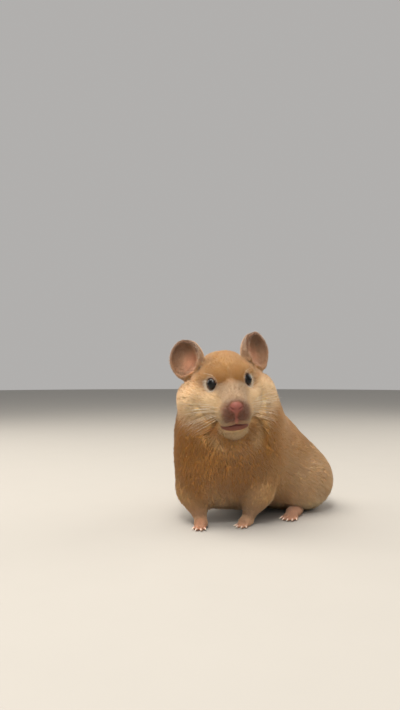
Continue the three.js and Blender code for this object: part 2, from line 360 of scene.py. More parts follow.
def carve(near: Array, own: Array, blend: float) -> Array:
    """Takes a shape away smoothly: the union of the outsides, turned over."""
    return -fold(-near, own, blend)


class Work(Enum):
    """How a shape takes part in a form."""

    JOIN = "join"
    JOIN_SKIN = "join the skin only"
    CUT_SKIN = "cut the skin only"


@dataclass
class Form:
    """Shapes folded one after another into one distance, on a grid or at loose points."""

    steps: list[tuple[Shape, Work, float]] = field(default_factory=list)
    far: float = 60.0
    step: float = 0.03

    def add(self, *shapes: Shape, work: Work = Work.JOIN, margin: float = 10.0) -> None:
        """Adds shapes, each worked out only within a margin of its box.

        Args:
            shapes: the shapes, in the order in which they are folded.
            work: how they take part.
            margin: millimetres beyond the box and the soft join.
        """
        self.steps += [(shape, work, margin + shape.blend) for shape in shapes]

    @staticmethod
    def _apply(near: Array, own: Array, shape: Shape, work: Work) -> Array:
        """One step of the fold."""
        return carve(near, own, shape.blend) if work is Work.CUT_SKIN else fold(near, own, shape.blend)

    def on_grid(self, axes: tuple[Array, ...]) -> Array:
        """The skin's distance at every crossing of three rows of coordinates.

        Args:
            axes: rising x, y and z coordinates.

        Returns:
            Distances, (nx, ny, nz), cut level with the floor: max(d, −z).
        """
        near = np.full([len(a) for a in axes], self.far, np.float32)
        for shape, work, margin in self.steps:
            middle, half = shape.box()
            span = [slice(*np.searchsorted(a, (m - h - margin, m + h + margin)))
                    for a, m, h in zip(axes, middle, half)]
            x, y, z = np.ix_(*[a[s].astype(np.float32) for a, s in zip(axes, span)])
            own = shape.distance(x, y, z, True).astype(np.float32)
            near[tuple(span)] = self._apply(near[tuple(span)], own, shape, work)
        return np.maximum(near, -axes[2].astype(np.float32)[None, None, :])

    def at(self, points: Array, skin: bool = True) -> Array:
        """Distance at loose points.

        Args:
            points: (n, 3) places.
            skin: the skin's distance, or the coat's.

        Returns:
            (n,) distances, cut level with the floor: max(d, −z).
        """
        near = np.full(len(points), self.far)
        for shape, work, margin in self.steps:
            if work is not Work.JOIN and not skin:
                continue
            middle, half = shape.box()
            rows = np.nonzero((np.abs(points - middle) < half + margin).all(1))[0]
            own = shape.distance(*points[rows].T, skin)
            near[rows] = self._apply(near[rows], own, shape, work)
        return np.maximum(near, -points[:, 2])

    def slope(self, points: Array, here: Array | None = None) -> Array:
        """Change of the skin's distance along x, y and z, from a short step each way.

        Args:
            points: (n, 3) places.
            here: the distances at the points, where they are known.

        Returns:
            (n, 3) slopes.
        """
        here = self.at(points) if here is None else here
        steps = self.step * np.eye(3)
        return np.stack([(self.at(points + step) - here) / self.step for step in steps], axis=1)


def surface_net(axes: tuple[Array, ...], near: Array) -> tuple[Array, Array]:
    """Draws the surface where a gridded distance is zero.

    Each cell that the surface crosses gets one vertex, at the mean of the crossings on its edges, and each
    crossed edge becomes the quad that joins its four cells, turned to face away from the inside.

    Args:
        axes: rising x, y and z coordinates.
        near: distances, negative inside.

    Returns:
        Vertices (n, 3) and quads (m, 4).
    """
    shape = np.array(near.shape)
    inside = near < 0
    cells, crossings, inner = [], [], []
    for a in range(3):
        b, c = (a + 1) % 3, (a + 2) % 3
        low = [slice(None)] * 3
        high = [slice(None)] * 3
        low[a], high[a] = slice(0, -1), slice(1, None)
        index = np.argwhere(inside[tuple(low)] != inside[tuple(high)])
        other = index.copy()
        other[:, a] += 1
        start, end = near[tuple(index.T)], near[tuple(other.T)]
        place = np.stack([axes[i][index[:, i]] for i in range(3)], axis=1)
        place[:, a] += start / (start - end) * (axes[a][other[:, a]] - axes[a][index[:, a]])
        ring = np.repeat(index[:, None, :], 4, axis=1)
        ring[:, :, b] -= np.array([1, 0, 0, 1])
        ring[:, :, c] -= np.array([1, 1, 0, 0])
        keys = (ring[..., 0] * shape[1] + ring[..., 1]) * shape[2] + ring[..., 2]
        cells.append(np.where((start < 0)[:, None], keys, keys[:, ::-1]))
        inner.append(np.ravel_multi_index(np.where((start < 0)[:, None], index, other).T, near.shape))
        crossings.append(np.repeat(place, 4, axis=0))
    keys = np.concatenate([c.ravel() for c in cells])
    place = np.concatenate(crossings)
    quads = parted(np.unique(keys, return_inverse=True)[1].reshape(-1, 4), np.concatenate(inner))
    count = np.bincount(quads.ravel())
    vertices = np.stack([np.bincount(quads.ravel(), place[:, i]) / count for i in range(3)], axis=1)
    return vertices, quads


def parted(quads: Array, inner: Array) -> Array:
    """Numbers the corners anew, so that sheets which only touch at a vertex or an edge come apart.

    The faces at an edge are joined in pairs, those round the same inner place first. Corners at one vertex
    belong together where their faces are joined: each takes the least number among its neighbours until
    none changes.

    Args:
        quads: (m, 4) vertex numbers, all turned the same way.
        inner: (m,) number of the grid place inside the form that each quad stands before.

    Returns:
        (m, 4) new vertex numbers.
    """
    start, end = quads.ravel(), np.roll(quads, -1, axis=1).ravel()
    corner = np.arange(start.size)
    after = corner + np.where(corner % 4 == 3, -3, 1)
    edge = np.minimum(start, end) * (start.max() + 1) + np.maximum(start, end)
    one, other = np.lexsort((inner.repeat(4), edge)).reshape(-1, 2).T
    ahead, behind = corner.copy(), corner.copy()
    ahead[one], behind[after[other]] = after[other], one
    ahead[other], behind[after[one]] = after[one], other
    label, fresh = corner, np.minimum(corner, np.minimum(ahead, behind))
    while (fresh != label).any():
        label = fresh
        fresh = np.minimum(label, np.minimum(label[ahead], label[behind]))
    return np.unique(label, return_inverse=True)[1].reshape(-1, 4)


def spaced(*stops: tuple[float, float]) -> Array:
    """Coordinates from stop to stop: each stop is (place, spacing from there on)."""
    rows = [np.arange(place, until, step) for (place, step), (until, _) in zip(stops, stops[1:])]
    return np.concatenate(rows + [[stops[-1][0]]])


# ---------------------------------------------------------------------------------------------
# The animal's form
# ---------------------------------------------------------------------------------------------

@dataclass(frozen=True)
class Side:
    """One side of the body: its name and its sign along the left direction."""

    name: str
    sign: int


RIGHT, LEFT = Side("right", -1), Side("left", 1)
SIDES = (RIGHT, LEFT)


@dataclass(frozen=True)
class Mouth:
    """The closed mouth, in the head's frame. Its line and its lips fall by droop · l² to the side."""

    droop: float = 0.016
    slit_height: float = -17.2
    slit: Span = (8.2, 0.5)
    lip_height: float = -17.4
    lip_width: float = 8.3
    upper: float = 1.1
    lower: float = 2.9
    kept_height: float = -17.9
    kept: Span = (7.4, 2.2)

    def lips(self, f: Array, l: Array, u: Array) -> Array:
        """The bare lips, a flat oval round the mouth's line, deeper below than above.

        Args:
            f: places forward of the head's middle.
            l: places left of it.
            u: places above it.

        Returns:
            Strength, 0 to 1.
        """
        u = u + self.droop * l ** 2
        height = np.where(u > self.lip_height, self.upper, self.lower)
        out = oval((l, u), (0.0, self.lip_height), (self.lip_width, height))
        return ramp(out, 1.08, 0.86) * ramp(f, 17.0, 19.0)

    def line(self, f: Array, l: Array, u: Array) -> Array:
        """Painted shade in the crease between the lips, a dark line, 0 to 1."""
        out = oval((l, u + self.droop * l ** 2), (0.0, self.slit_height), self.slit)
        return ramp(out, 1.1, 0.7) * ramp(f, 17, 19) * ramp(f, 27.0, 25.4)

    def gap(self, l: Array, u: Array) -> Array:
        """How far above or below the lips a place lies, about, in millimetres."""
        out = oval((l, u + self.droop * l ** 2), (0.0, self.kept_height), self.kept)
        return (out - 1.0) * self.kept[1]


@dataclass(frozen=True)
class Head:
    """The head's place and the sizes of its lumps, given forward, left and up of its middle."""

    eyes_middle: Point = (12.5, -8.8, 76.0)
    yaw: float = 45.0
    pitch: float = 14.0
    roll: float = 7.0
    middle: Point = (4.0, 0.0, -4.0)
    eye: Point = (14.0, 8.5, 3.0)
    eye_radius: float = 3.35
    gaze: Point = (0.62, 0.78, 0.12)
    opening: float = 3.0
    nose: Point = (27.9, 0.0, -5.8)
    nose_radii: Point = (2.4, 2.6, 2.1)
    pad: Point = (28.4, 0.0, -6.3)
    mouth: Mouth = Mouth()
    lip: Point = (23.3, 2.9, -14.8)
    lip_radii: Point = (3.8, 5.1, 2.5)
    lip_droop: float = 13.0
    brow_depth: float = 4.0
    brow_radii: Point = (5.5, 8.5, 8.5)
    lid_gap: float = 0.2
    lid_radius: float = 0.36
    tear: float = 0.06

    @property
    def stance(self) -> Stance:
        """The head's own frame, whose origin lies behind and below the middle of the eyes."""
        bare = Stance((0, 0, 0), self.yaw, self.pitch, self.roll)
        origin = np.asarray(self.eyes_middle) - bare.turn @ np.array([self.eye[0], 0.0, self.eye[2]])
        return Stance(tuple(origin), self.yaw, self.pitch, self.roll)

    def mirrored(self, point: Point, side: Side) -> Array:
        """A place on one side of the head."""
        return self.stance.at((point[0], side.sign * point[1], point[2]))

    def eye_centre(self, side: Side) -> Array:
        """Centre of one eyeball."""
        return self.mirrored(self.eye, side)

    def eye_axis(self, side: Side) -> Array:
        """The way one eye looks out."""
        return self.stance.along((self.gaze[0], side.sign * self.gaze[1], self.gaze[2]))

    def lid_centre(self, side: Side) -> Array:
        """Middle of the lid's ring, where the opening meets the eyeball: √(R² − r²) in front."""
        forward = math.sqrt(self.eye_radius ** 2 - self.opening ** 2)
        return self.eye_centre(side) + forward * self.eye_axis(side)

    def lump(self, place: Point, radii: Point, blend: float, inset: float = 0.0) -> Lump:
        """A lump at a place on the head, turned with it."""
        return Lump(self.stance.at(place), radii, blend, inset, self.stance.turn)

    def pair(self, place: Point, radii: Point, blend: float, inset: float = 0.0) -> list[Lump]:
        """The same lump on both sides."""
        forward, aside, up = place
        return [self.lump((forward, side.sign * aside, up), radii, blend, inset) for side in SIDES]

    def limb(self, start: Point, end: Point, radii: tuple[float, float], blend: float,
             insets: tuple[float, float] = (0.0, 0.0)) -> Limb:
        """A rod from place to place on the head."""
        return Limb(self.stance.at(start), self.stance.at(end), radii, blend, insets)

    def lumps(self) -> list[Shape]:
        """Skull, cheeks, bridge of the muzzle, its sides, whisker pads, lower jaw and chin.

        Returns:
            The shapes, in the order in which they are folded.
        """
        return [
            self.lump((0, 0, 0.6), (18.6, 17, 14.2), 5, 2.2),
            *self.pair((-1, 14.5, -9), (14, 13, 13), 7, 2.8),
            self.limb((12, 0, -2.6), (23.2, 0, -6.7), (9.4, 7.0), 5, (1.6, 0.8)),
            *self.pair((12.5, 7.2, -7.5), (10, 7.4, 8), 5, 1.9),
            *self.pair((21.0, 4.3, -11.3), (7.2, 5.3, 6.5), 3, 0.8),
            self.limb((8, 0, -16), (20.0, 0, -19.9), (8.3, 4.5), 4, (2.0, 0.8)),
            self.lump((17.5, 0, -19.2), (6.6, 7.8, 4.2), 3, 1.0),
        ]


@dataclass(frozen=True)
class Ear:
    """An ear's cup, open to the front, on the root that carries it."""

    side: Side
    head: Head
    facing: float = 24.0
    root: Point = (-3.0, 14.0, 4.0)
    tip: Point = (-11.0, 21.5, 20.0)
    middle: Point = (-7.0, 19.6, 12.2)
    radii: Point = (6.0, 10.2, 10.8)
    wall: float = 1.15
    rim: float = 1.2
    base: Point = (-4.5, 15.6, 5.2)
    base_radii: Point = (4.6, 6.8, 6.0)
    cup_blend: float = 1.6
    hollow_blend: float = 0.6
    forward: float = 0.15

    @property
    def up(self) -> Array:
        """From the root to the tip."""
        return unit(self.head.mirrored(self.tip, self.side) - self.head.mirrored(self.root, self.side))

    @property
    def front(self) -> Array:
        """The way the cup opens, square to its height."""
        yaw = self.head.yaw + self.side.sign * self.facing
        facing = Stance((0, 0, 0), yaw, self.head.pitch, self.head.roll).turn[:, 0]
        return unit(facing - self.up * (facing @ self.up))

    @property
    def centre(self) -> Array:
        """Middle of the cup."""
        return self.head.mirrored(self.middle, self.side)

    @property
    def turn(self) -> Array:
        """Columns front, side, up."""
        return np.stack([self.front, np.cross(self.up, self.front), self.up], axis=1)

    @property
    def outer(self) -> Auricle:
        """The cup's outer form, uncut."""
        return Auricle(self.centre, self.radii, self.turn, self.side.sign, self.cup_blend)

    def cup(self) -> Auricle:
        """The cup as a solid, cut along the rim."""
        return Auricle(self.centre, self.radii, self.turn, self.side.sign, self.cup_blend, self.rim)

    def foot(self) -> Lump:
        """The root that joins the cup to the head."""
        return Lump(self.head.mirrored(self.base, self.side), self.base_radii, 3.0, 0.4, self.turn)

    def hollow(self) -> Auricle:
        """The inside of the cup, which dips into the head."""
        radii = tuple(r - self.wall for r in self.radii)
        centre = self.centre + self.forward * self.front
        return Auricle(centre, radii, self.turn, self.side.sign, self.hollow_blend)


@dataclass(frozen=True)
class Foot:
    """A foot: its sole, and toes that fan out from it, each given by fan angle and reach."""

    name: str
    place: tuple[float, float]
    heading: float
    palm: Point
    lift: float
    toe_radius: float
    claw: float
    toes: tuple[tuple[float, float], ...]
    toe_height: float = 0.85
    toe_start: float = 0.35
    arch: float = 0.9

    @property
    def stance(self) -> Stance:
        """The foot's frame on the floor."""
        return self.toe(0.0)

    @property
    def rise(self) -> float:
        """Height of the toes' middle lines at their ends."""
        return self.toe_radius * self.toe_height

    def toe(self, fan: float) -> Stance:
        """The frame of a toe that fans out by an angle."""
        return Stance((*self.place, 0.0), self.heading + fan)

    def toe_ends(self, fan: float, reach: float) -> tuple[Array, Array]:
        """Heel and end of a toe's middle line."""
        toe = self.toe(fan)
        heel = toe.at((reach * self.toe_start, 0, self.rise + self.arch))
        return heel, toe.at((reach - self.toe_radius, 0, self.rise))

    def shapes(self) -> list[Shape]:
        """The sole, and each toe with its knuckle.

        Returns:
            The shapes, in the order in which they are folded.
        """
        s = self.stance
        made: list[Shape] = [Lump(s.at((0, 0, self.lift)), self.palm, 2.4, 0.15, s.turn)]
        for fan, reach in self.toes:
            heel, end = self.toe_ends(fan, reach)
            made.append(Limb(heel, end, (self.toe_radius, self.toe_radius * 0.92), 0.8, (0.05, 0.1)))
            knuckle = heel * 0.45 + end * 0.55 + np.array([0, 0, 0.35])
            made.append(Lump(knuckle, (self.toe_radius * 1.02,) * 3, 0.8, 0.1))
        return made


@dataclass
class Hamster:
    """The whole animal as one form, with the frames that the lie of the coat and the markings use."""

    head: Head = field(default_factory=Head)
    trunk_middle: Point = (0.0, 30.0, 34.0)
    chest_yaw: float = 25.0
    tail: Limb = field(default_factory=lambda: Limb(
        np.array([0, 79, 9.5]), np.array([0, 86.4, 7.0]), (5.6, 2.6), 3.0, (2.0, 0.7)))

    def __post_init__(self) -> None:
        """Builds every shape and folds them in order."""
        h = self.head
        chest = Stance(yaw=self.chest_yaw).turn
        self.trunk = [
            Lump(np.array([0, 55, 24]), (27.5, 31, 24.6), 1, 3.7),
            Lump(np.array([0, 38, 37]), (25.5, 29, 22.5), 10, 3.8),
            Lump(np.array([0, 28, 27]), (27, 27, 25), 10, 3.6),
            Lump(np.array([-2, 34, 50]), (18, 20, 13.5), 10, 3.8),
            Lump(np.array([-3, 9, 36]), (25, 28.5, 28), 12, 3.8, chest),
            Lump(np.array([-4, -1, 25]), (16, 17, 17), 8, 3.4),
            Lump(np.array([-3.5, 14, 54]), (25, 29, 22), 12, 3.8, chest),
            *[Lump(np.array([s.sign * 22, 54.5, 16.8]), (16.5, 22.5, 17.4), 13, 3.3) for s in SIDES],
            Limb(np.array([-2, 14, 60]), h.stance.at((-7, 0, -5)), (24, 19.5), 12, (3.8, 3.2)),
        ]
        self.skull = h.lumps()
        self.upper_arms = [
            Limb(np.array([-16, 6, 34]), np.array([-12, -8, 17]), (12, 8.3), 8, (4.2, 2.8)),
            Limb(np.array([14, 16, 32]), np.array([19, 9, 17]), (12, 7.4), 8, (4.2, 2.6)),
        ]
        self.forearms = [
            Limb(np.array([-12, -8, 17]), np.array([-3.2, -13, 4.2]), (7.3, 3.4), 6, (2.6, 0.7)),
            Limb(np.array([19, 9, 17]), np.array([15.5, 4.8, 4.2]), (6.4, 3.3), 6, (2.4, 0.7)),
        ]
        fore = dict(palm=(4.6, 3.5, 2.7), lift=2.1, toe_radius=0.95, claw=2.0,
                    toes=((-27, 6.2), (-9, 7.6), (9, 7.7), (27, 6.4)))
        hind = dict(palm=(9.5, 4.2, 3.1), lift=2.4, toe_radius=1.1, claw=2.4,
                    toes=((-19, 12.6), (-9.5, 14.4), (0, 15), (9.5, 14.4), (19, 12.2)))
        self.feet = [
            Foot("forefoot_right", (-0.9, -15.6), 28, **fore), Foot("forefoot_left", (15.3, 2.2), 8, **fore),
            Foot("hindfoot_right", (-25.5, 37), -14, **hind), Foot("hindfoot_left", (25.5, 37), 14, **hind),
        ]
        self.ears = [Ear(side, h) for side in SIDES]
        self.form = Form()
        self.form.add(*self.trunk, *self.skull, *self.upper_arms, *self.forearms, margin=11)
        self.form.add(self.tail, *[shape for foot in self.feet for shape in foot.shapes()], margin=4)
        self._face()

    @staticmethod
    def _about(axis: Array) -> Array:
        """Three directions, the first along an axis."""
        side = unit(np.cross(axis, UP))
        return np.stack([axis, side, np.cross(axis, side)], axis=1)

    def _face(self) -> None:
        """Adds ears and nose, lids and lips, and cuts the eye sockets, the cleft and the nostrils."""
        h, form = self.head, self.form
        for ear in self.ears:
            form.add(ear.foot(), ear.cup(), margin=4)
            form.add(ear.hollow(), work=Work.CUT_SKIN, margin=2)
        form.add(h.lump(h.nose, h.nose_radii, 1.2), margin=4)
        wings = h.pair((28.2, 1.7, -6.9), (1.5, 1.4, 1.3), 0.8)
        lower = h.lump((20.6, 0, -19.0), (4.8, 7.1, 2.1), 1.4)
        upper = [Lump(h.mirrored(h.lip, side), h.lip_radii, 1.4, 0.0,
                      Stance((0, 0, 0), h.yaw, h.pitch, h.roll - h.lip_droop * side.sign).turn)
                 for side in SIDES]
        brows = [Lump(h.eye_centre(side) - h.brow_depth * h.eye_axis(side), h.brow_radii, 2.0, 0.0,
                      self._about(h.eye_axis(side))) for side in SIDES]
        lids = [Ring(h.lid_centre(side), h.eye_axis(side), h.opening + h.lid_gap, h.lid_radius, 0.9)
                for side in SIDES]
        form.add(*wings, *upper, lower, *brows, *lids, work=Work.JOIN_SKIN, margin=3)
        groove = h.limb((30.0, 0, -8.6), (28.0, 0, -16.8), (0.5, 0.75), 0.7)
        holes = [h.limb((29.9, side.sign * 1.1, -7.5), (28.7, side.sign * 2.7, -6.5), (0.6, 0.42), 0.35)
                 for side in SIDES]
        form.add(groove, *holes, work=Work.CUT_SKIN, margin=2)
        for side in SIDES:
            centre, axis = h.eye_centre(side), h.eye_axis(side)
            ball = Lump(centre, (h.eye_radius + h.tear,) * 3, 0.2)
            between = Limb(h.lid_centre(side) + 0.4 * axis, centre + 7 * axis, (h.opening - 0.1, 4.5), 0.3)
            form.add(ball, between, work=Work.CUT_SKIN, margin=2)


# ---------------------------------------------------------------------------------------------
# Regions: which part of the body a place belongs to, and the way the coat lies there
# ---------------------------------------------------------------------------------------------

class Region(Enum):
    """Parts of the body whose coat differs."""

    BODY = 0
    HEAD = 1
    FORELEG_RIGHT = 2
    FORELEG_LEFT = 3
    FEET = 4
    EARS = 5
    TAIL = 6


THIN = [Region.EARS.value, Region.FEET.value, Region.TAIL.value]


@dataclass
class Lie:
    """The way the coat lies and how much of each region a place has."""

    animal: Hamster
    spread: float = 2.2
    head_loss: float = 1.0
    muzzle: Point = (24.0, 0.0, -9.0)
    muzzle_reach: Span = (30.0, 14.0)
    muzzle_gain: float = 14.0
    nose: Point = (31.0, 0.0, -9.0)
    sweep: Point = (-1.0, 0.0, -0.35)
    sweep_share: float = 0.55
    shoulder: Span = (-6.0, 34.0)
    foot_dip: float = 0.2
    ear_depth: float = 9.0

    def shares(self, points: Array) -> Array:
        """Share of each region at each point: exp(−(d − d_min) / spread), scaled to a sum of one.

        Args:
            points: (n, 3) places.

        Returns:
            (n, regions) shares.
        """
        a = self.animal
        feet = [shape for foot in a.feet for shape in foot.shapes()]
        ears = [shape for ear in a.ears for shape in (ear.cup(), ear.foot())]
        groups = [a.trunk, a.skull, [a.upper_arms[0], a.forearms[0]], [a.upper_arms[1], a.forearms[1]],
                  feet, ears, [a.tail]]
        gaps = np.stack([np.min([shape.distance(*points.T, True) for shape in group], axis=0)
                         for group in groups], axis=1)
        gaps[:, Region.HEAD.value] += self.head_loss
        muzzle = np.linalg.norm(a.head.stance.local(points) - np.array(self.muzzle), axis=1)
        gaps[:, Region.HEAD.value] -= self.muzzle_gain * ramp(muzzle, *self.muzzle_reach)
        shares = np.exp(-(gaps - gaps.min(1, keepdims=True)) / self.spread)
        return shares / shares.sum(1, keepdims=True)

    def direction(self, points: Array, normals: Array, shares: Array) -> Array:
        """The lie as unit vectors along the surface: each region's own flow, mixed by its share.

        Head: away from the nose and back. Body: from nape to rump and down. Legs, feet, ears and
        tail: toward their ends.

        Args:
            points: (n, 3) places on the skin.
            normals: (n, 3) outward directions.
            shares: shares of the regions.

        Returns:
            (n, 3) unit vectors.
        """
        a, s = self.animal, self.animal.head.stance
        back = ramp(points[:, 1:2], *self.shoulder)
        parts = [0.10 * points[:, :1] / 20.0, 0.12 + 0.85 * back, -1.0 + 0.1 * back]
        body = unit(np.concatenate(parts, axis=1))
        head = unit(unit(points - s.at(self.nose)) + self.sweep_share * s.along(self.sweep))
        rods = [np.broadcast_to(unit(rod.end - rod.start), points.shape) for rod in (*a.forearms, a.tail)]
        gaps = [np.linalg.norm(points[:, :2] - np.asarray(foot.place), axis=1) for foot in a.feet]
        toward = np.array([foot.stance.turn[:, 0] - self.foot_dip * UP for foot in a.feet])
        feet = toward[np.argmin(gaps, axis=0)]
        gaps = [np.linalg.norm(points - ear.centre, axis=1) for ear in a.ears]
        away = np.stack([unit(points - (ear.centre - self.ear_depth * ear.up)) for ear in a.ears])
        ears = away[np.argmin(gaps, axis=0), np.arange(len(points))]
        flows = (body, head, *rods[:2], feet, ears, rods[2])
        mixed = sum(shares[:, i:i + 1] * flow for i, flow in enumerate(flows))
        return unit(mixed - normals * dot(mixed, normals))


# ---------------------------------------------------------------------------------------------
# Markings: one set of colours for skin and coat
# ---------------------------------------------------------------------------------------------

def tone(red: float, green: float, blue: float) -> Field:
    """A palette's entry, from a display colour."""
    return field(default_factory=lambda: linear(red, green, blue))


@dataclass(frozen=True)
class Palette:
    """The animal's colours in linear light."""

    golden: Array = tone(0.77, 0.53, 0.28)
    orange: Array = tone(0.61, 0.395, 0.175)
    # pale tone on the top of the back, partly the animal's own and partly painted light from above
    saddle_and_top_light: Array = tone(0.90, 0.68, 0.48)
    # chest and throat: partly their own deeper orange, partly painted shade under the head
    chest: Array = tone(0.70, 0.46, 0.23)
    tan: Array = tone(0.92, 0.73, 0.54)
    cream: Array = tone(0.94, 0.79, 0.58)
    pale: Array = tone(0.96, 0.91, 0.82)
    bridge: Array = tone(0.70, 0.56, 0.43)
    muzzle: Array = tone(0.49, 0.285, 0.235)
    nose: Array = tone(0.58, 0.35, 0.31)
    lips: Array = tone(0.45, 0.26, 0.215)
    # painted shade for the crease between the lips
    mouth: Array = tone(0.30, 0.12, 0.11)
    feet: Array = tone(0.72, 0.52, 0.44)
    ear: Array = tone(0.60, 0.45, 0.34)
    ear_inside: Array = tone(0.86, 0.63, 0.50)
    ear_rim: Array = tone(0.42, 0.31, 0.25)


@dataclass
class Paint:
    """Colours in the making, over which markings are laid."""

    colour: Array

    def lay(self, marking: Array, weight: Array) -> None:
        """Lays one marking over those before it: c (1 − w) + m w."""
        weight = np.clip(weight, 0.0, 1.0)[:, None]
        self.colour = self.colour * (1.0 - weight) + marking * weight


@dataclass
class Markings:
    """Colour of the animal at any place, and how bare the skin is there.

    A marking's weight is its strength times a ramp for each measure of the place that bounds it. On the
    head f, l and u are millimetres forward, left and up of its middle, and side is |l|.
    """

    animal: Hamster
    palette: Palette = field(default_factory=Palette)
    cup_reach: float = 14.0
    lid_edge: float = 0.45
    patch: float = 0.05
    speckle: float = 0.03

    def bare(self, points: Array) -> Array:
        """How bare the skin is: nose pad, cleft, lips, lids, the inside of the ears and the soles.

        Args:
            points: (n, 3) places.

        Returns:
            (n,) bareness, 0 to 1.
        """
        a, h = self.animal, self.animal.head
        place = h.stance.local(points).T
        nose = ramp(oval(place, h.pad, (2.6, 2.9, 2.5)), 1.25, 0.95)
        cleft = self.cleft(place, (1.1, 0.5), -17.2)
        lids, cup, soles = np.zeros((3, len(points)))
        for side in SIDES:
            gap = np.linalg.norm(points - h.lid_centre(side), axis=1) - h.opening
            lids = np.maximum(lids, ramp(gap, 0.95, self.lid_edge))
        for ear in a.ears:
            front, _, up = ((points - ear.centre) @ ear.turn).T
            inner = ear.outer.distance(*points.T, False)
            cup = np.maximum(cup, 0.8 * ramp(inner, -0.35, -0.8) * ramp(front, -7.0, -5.5)
                             * ramp(up, -10.5, -8.0) * (np.linalg.norm(points - ear.centre, axis=1) < 13))
        for foot in a.feet:
            near = ramp(np.linalg.norm(points[:, :2] - np.asarray(foot.place), axis=1), 20, 18)
            soles = np.maximum(soles, near * ramp(points[:, 2], 1.0, 0.4))
        return np.clip(np.max([nose, cleft, h.mouth.lips(*place), lids, cup, soles], axis=0), 0.0, 1.0)

    @staticmethod
    def cleft(place: Array, width: Span, low: float) -> Array:
        """The cleft from the nose to the lip, 0 to 1."""
        f, l, u = place
        return ramp(np.abs(l), *width) * ramp(f, 25.0, 26.5) * ramp(u, low, -16.0) * ramp(u, -6, -7)

    def skin(self, points: Array, shares: Array) -> Array:
        """Colour of fur and skin at places on the animal: golden, under every marking in turn.

        Args:
            points: (n, 3) places.
            shares: shares of the regions.

        Returns:
            (n, 3) linear colours.
        """
        place = self.animal.head.stance.local(points).T
        head = shares[:, Region.HEAD.value]
        paint = Paint(np.tile(self.palette.golden, (len(points), 1)))
        self.trunk(paint, points, 1.0 - head)
        self.face(paint, place, head)
        self.lids(paint, points)
        self.limbs(paint, points, shares)
        self.ears(paint, points, shares[:, Region.EARS.value])
        self.mouth(paint, place)
        soft = 1.0 + self.patch * drift(points, 7.0, 3)[:, :1] + self.speckle * drift(points, 2.2, 4)[:, :1]
        return np.clip(paint.colour * soft, 0.0, 1.0)

    def trunk(self, paint: Paint, points: Array, body: Array) -> None:
        """Saddle that is partly painted light from above, pale flanks and rump, a darker chest that is partly
        painted shade, cream belly and the fur between the forelegs.

        Args:
            paint: the colours in the making.
            points: (n, 3) places.
            body: share of all that isn't head.
        """
        p = self.palette
        x, y, z = points.T
        # top of the back paler: partly its own tone, partly painted light from above
        paint.lay(p.saddle_and_top_light, 0.85 * body * ramp(z, 34, 62) * ramp(y, 8, 30))
        paint.lay(p.tan, 0.75 * body * ramp(np.abs(x), 12, 26) * ramp(y, 12, 38) * ramp(z, 52, 26))
        paint.lay(p.tan, 0.8 * body * ramp(y, 54, 78))
        # darker chest: partly its own colour, partly painted shade under the head
        paint.lay(p.chest, 0.9 * body * ramp(y, 22, 2) * ramp(z, 12, 26))
        paint.lay(p.cream, 0.85 * body * ramp(z, 15, 6) * ramp(y, -18, -4))
        paint.lay(p.tan, 0.5 * body * ramp(z, 30, 12) * ramp(np.abs(x - 5), 9, 3) * ramp(y, 14, 4))

    def face(self, paint: Paint, place: Array, head: Array) -> None:
        """Crown, temples, cheeks, bridge and sides of the muzzle, its tip, a throat darkened partly by
        painted shade, and chin.

        Args:
            paint: the colours in the making.
            place: f, l and u of each place.
            head: share of the head.
        """
        p = self.palette
        f, l, u = place
        side = np.abs(l)
        cheek = oval((f, u), (11, -8), (9, 7.5))
        tip = oval(place, (28, 0, -9.5), (6.8, 6.8, 6.0))
        chin = oval((l, u), (0, -20.5), (8.5, 3.2))
        paint.lay(p.orange, 0.9 * head * ramp(u, -3, 2) * ramp(side, 18, 11))
        paint.lay(p.tan, 0.7 * head * ramp(side, 9, 14) * ramp(u, 4, -3) * ramp(u, -20, -14))
        paint.lay(p.cream, 0.6 * head * ramp(cheek, 1.15, 0.45) * ramp(side, 6, 10))
        bridge = ramp(f, 12, 18) * ramp(side, 8.5, 4.5) * ramp(u, -9, -4) * ramp(u, 4.5, 0.5)
        paint.lay(p.bridge, 0.9 * head * bridge)
        paint.lay(p.cream, 0.8 * head * ramp(f, 13, 17) * ramp(side, 4.8, 7.4) * ramp(u, 0, -4))
        paint.lay(p.bridge, 0.9 * head * ramp(f, 17, 21) * ramp(side, 9.0, 6.5) * ramp(u, -10, -14))
        paint.lay(p.muzzle, 0.9 * head * ramp(tip, 1.25, 0.65))
        # darker throat under the chin: partly its own colour, partly painted shade
        paint.lay(p.chest, 0.8 * head * ramp(u, -18, -22) * ramp(side, 15, 11))
        paint.lay(p.cream, 0.85 * head * ramp(u, -19.0, -20.2) * ramp(chin, 1.2, 0.7) * ramp(f, 12, 17))

    def lids(self, paint: Paint, points: Array) -> None:
        """A pale ring round each eye, widest below it, and a dark edge on the lid.

        Args:
            paint: the colours in the making.
            points: (n, 3) places.
        """
        h = self.animal.head
        for side in SIDES:
            off = points - h.lid_centre(side)
            gap = np.linalg.norm(off, axis=1)
            under = off @ h.stance.along((-0.35, 0.35 * side.sign, -0.85))
            ring = ramp(gap, 4.3 + 1.6 * ramp(under, 0.0, 3.0), 3.7)
            paint.lay(self.palette.pale, (0.25 + 0.55 * ramp(under, -1.5, 1.5)) * ring)
            paint.lay(self.palette.ear_rim, 0.9 * ramp(gap - h.opening, 0.85, self.lid_edge))

    def limbs(self, paint: Paint, points: Array, shares: Array) -> None:
        """Feet, forelegs and tail, which turn pinker toward their bare ends.

        Args:
            paint: the colours in the making.
            points: (n, 3) places.
            shares: shares of the regions.
        """
        p = self.palette
        arms = shares[:, Region.FORELEG_RIGHT.value] + shares[:, Region.FORELEG_LEFT.value]
        tail = shares[:, Region.TAIL.value]
        paint.lay(p.feet, shares[:, Region.FEET.value] * 0.85)
        paint.lay(p.tan, 0.5 * arms)
        paint.lay(p.feet, 0.55 * arms * ramp(points[:, 2], 17, 6))
        paint.lay(p.cream, 0.7 * tail)
        paint.lay(p.feet, 0.8 * tail * ramp(points[:, 1], 84, 88))

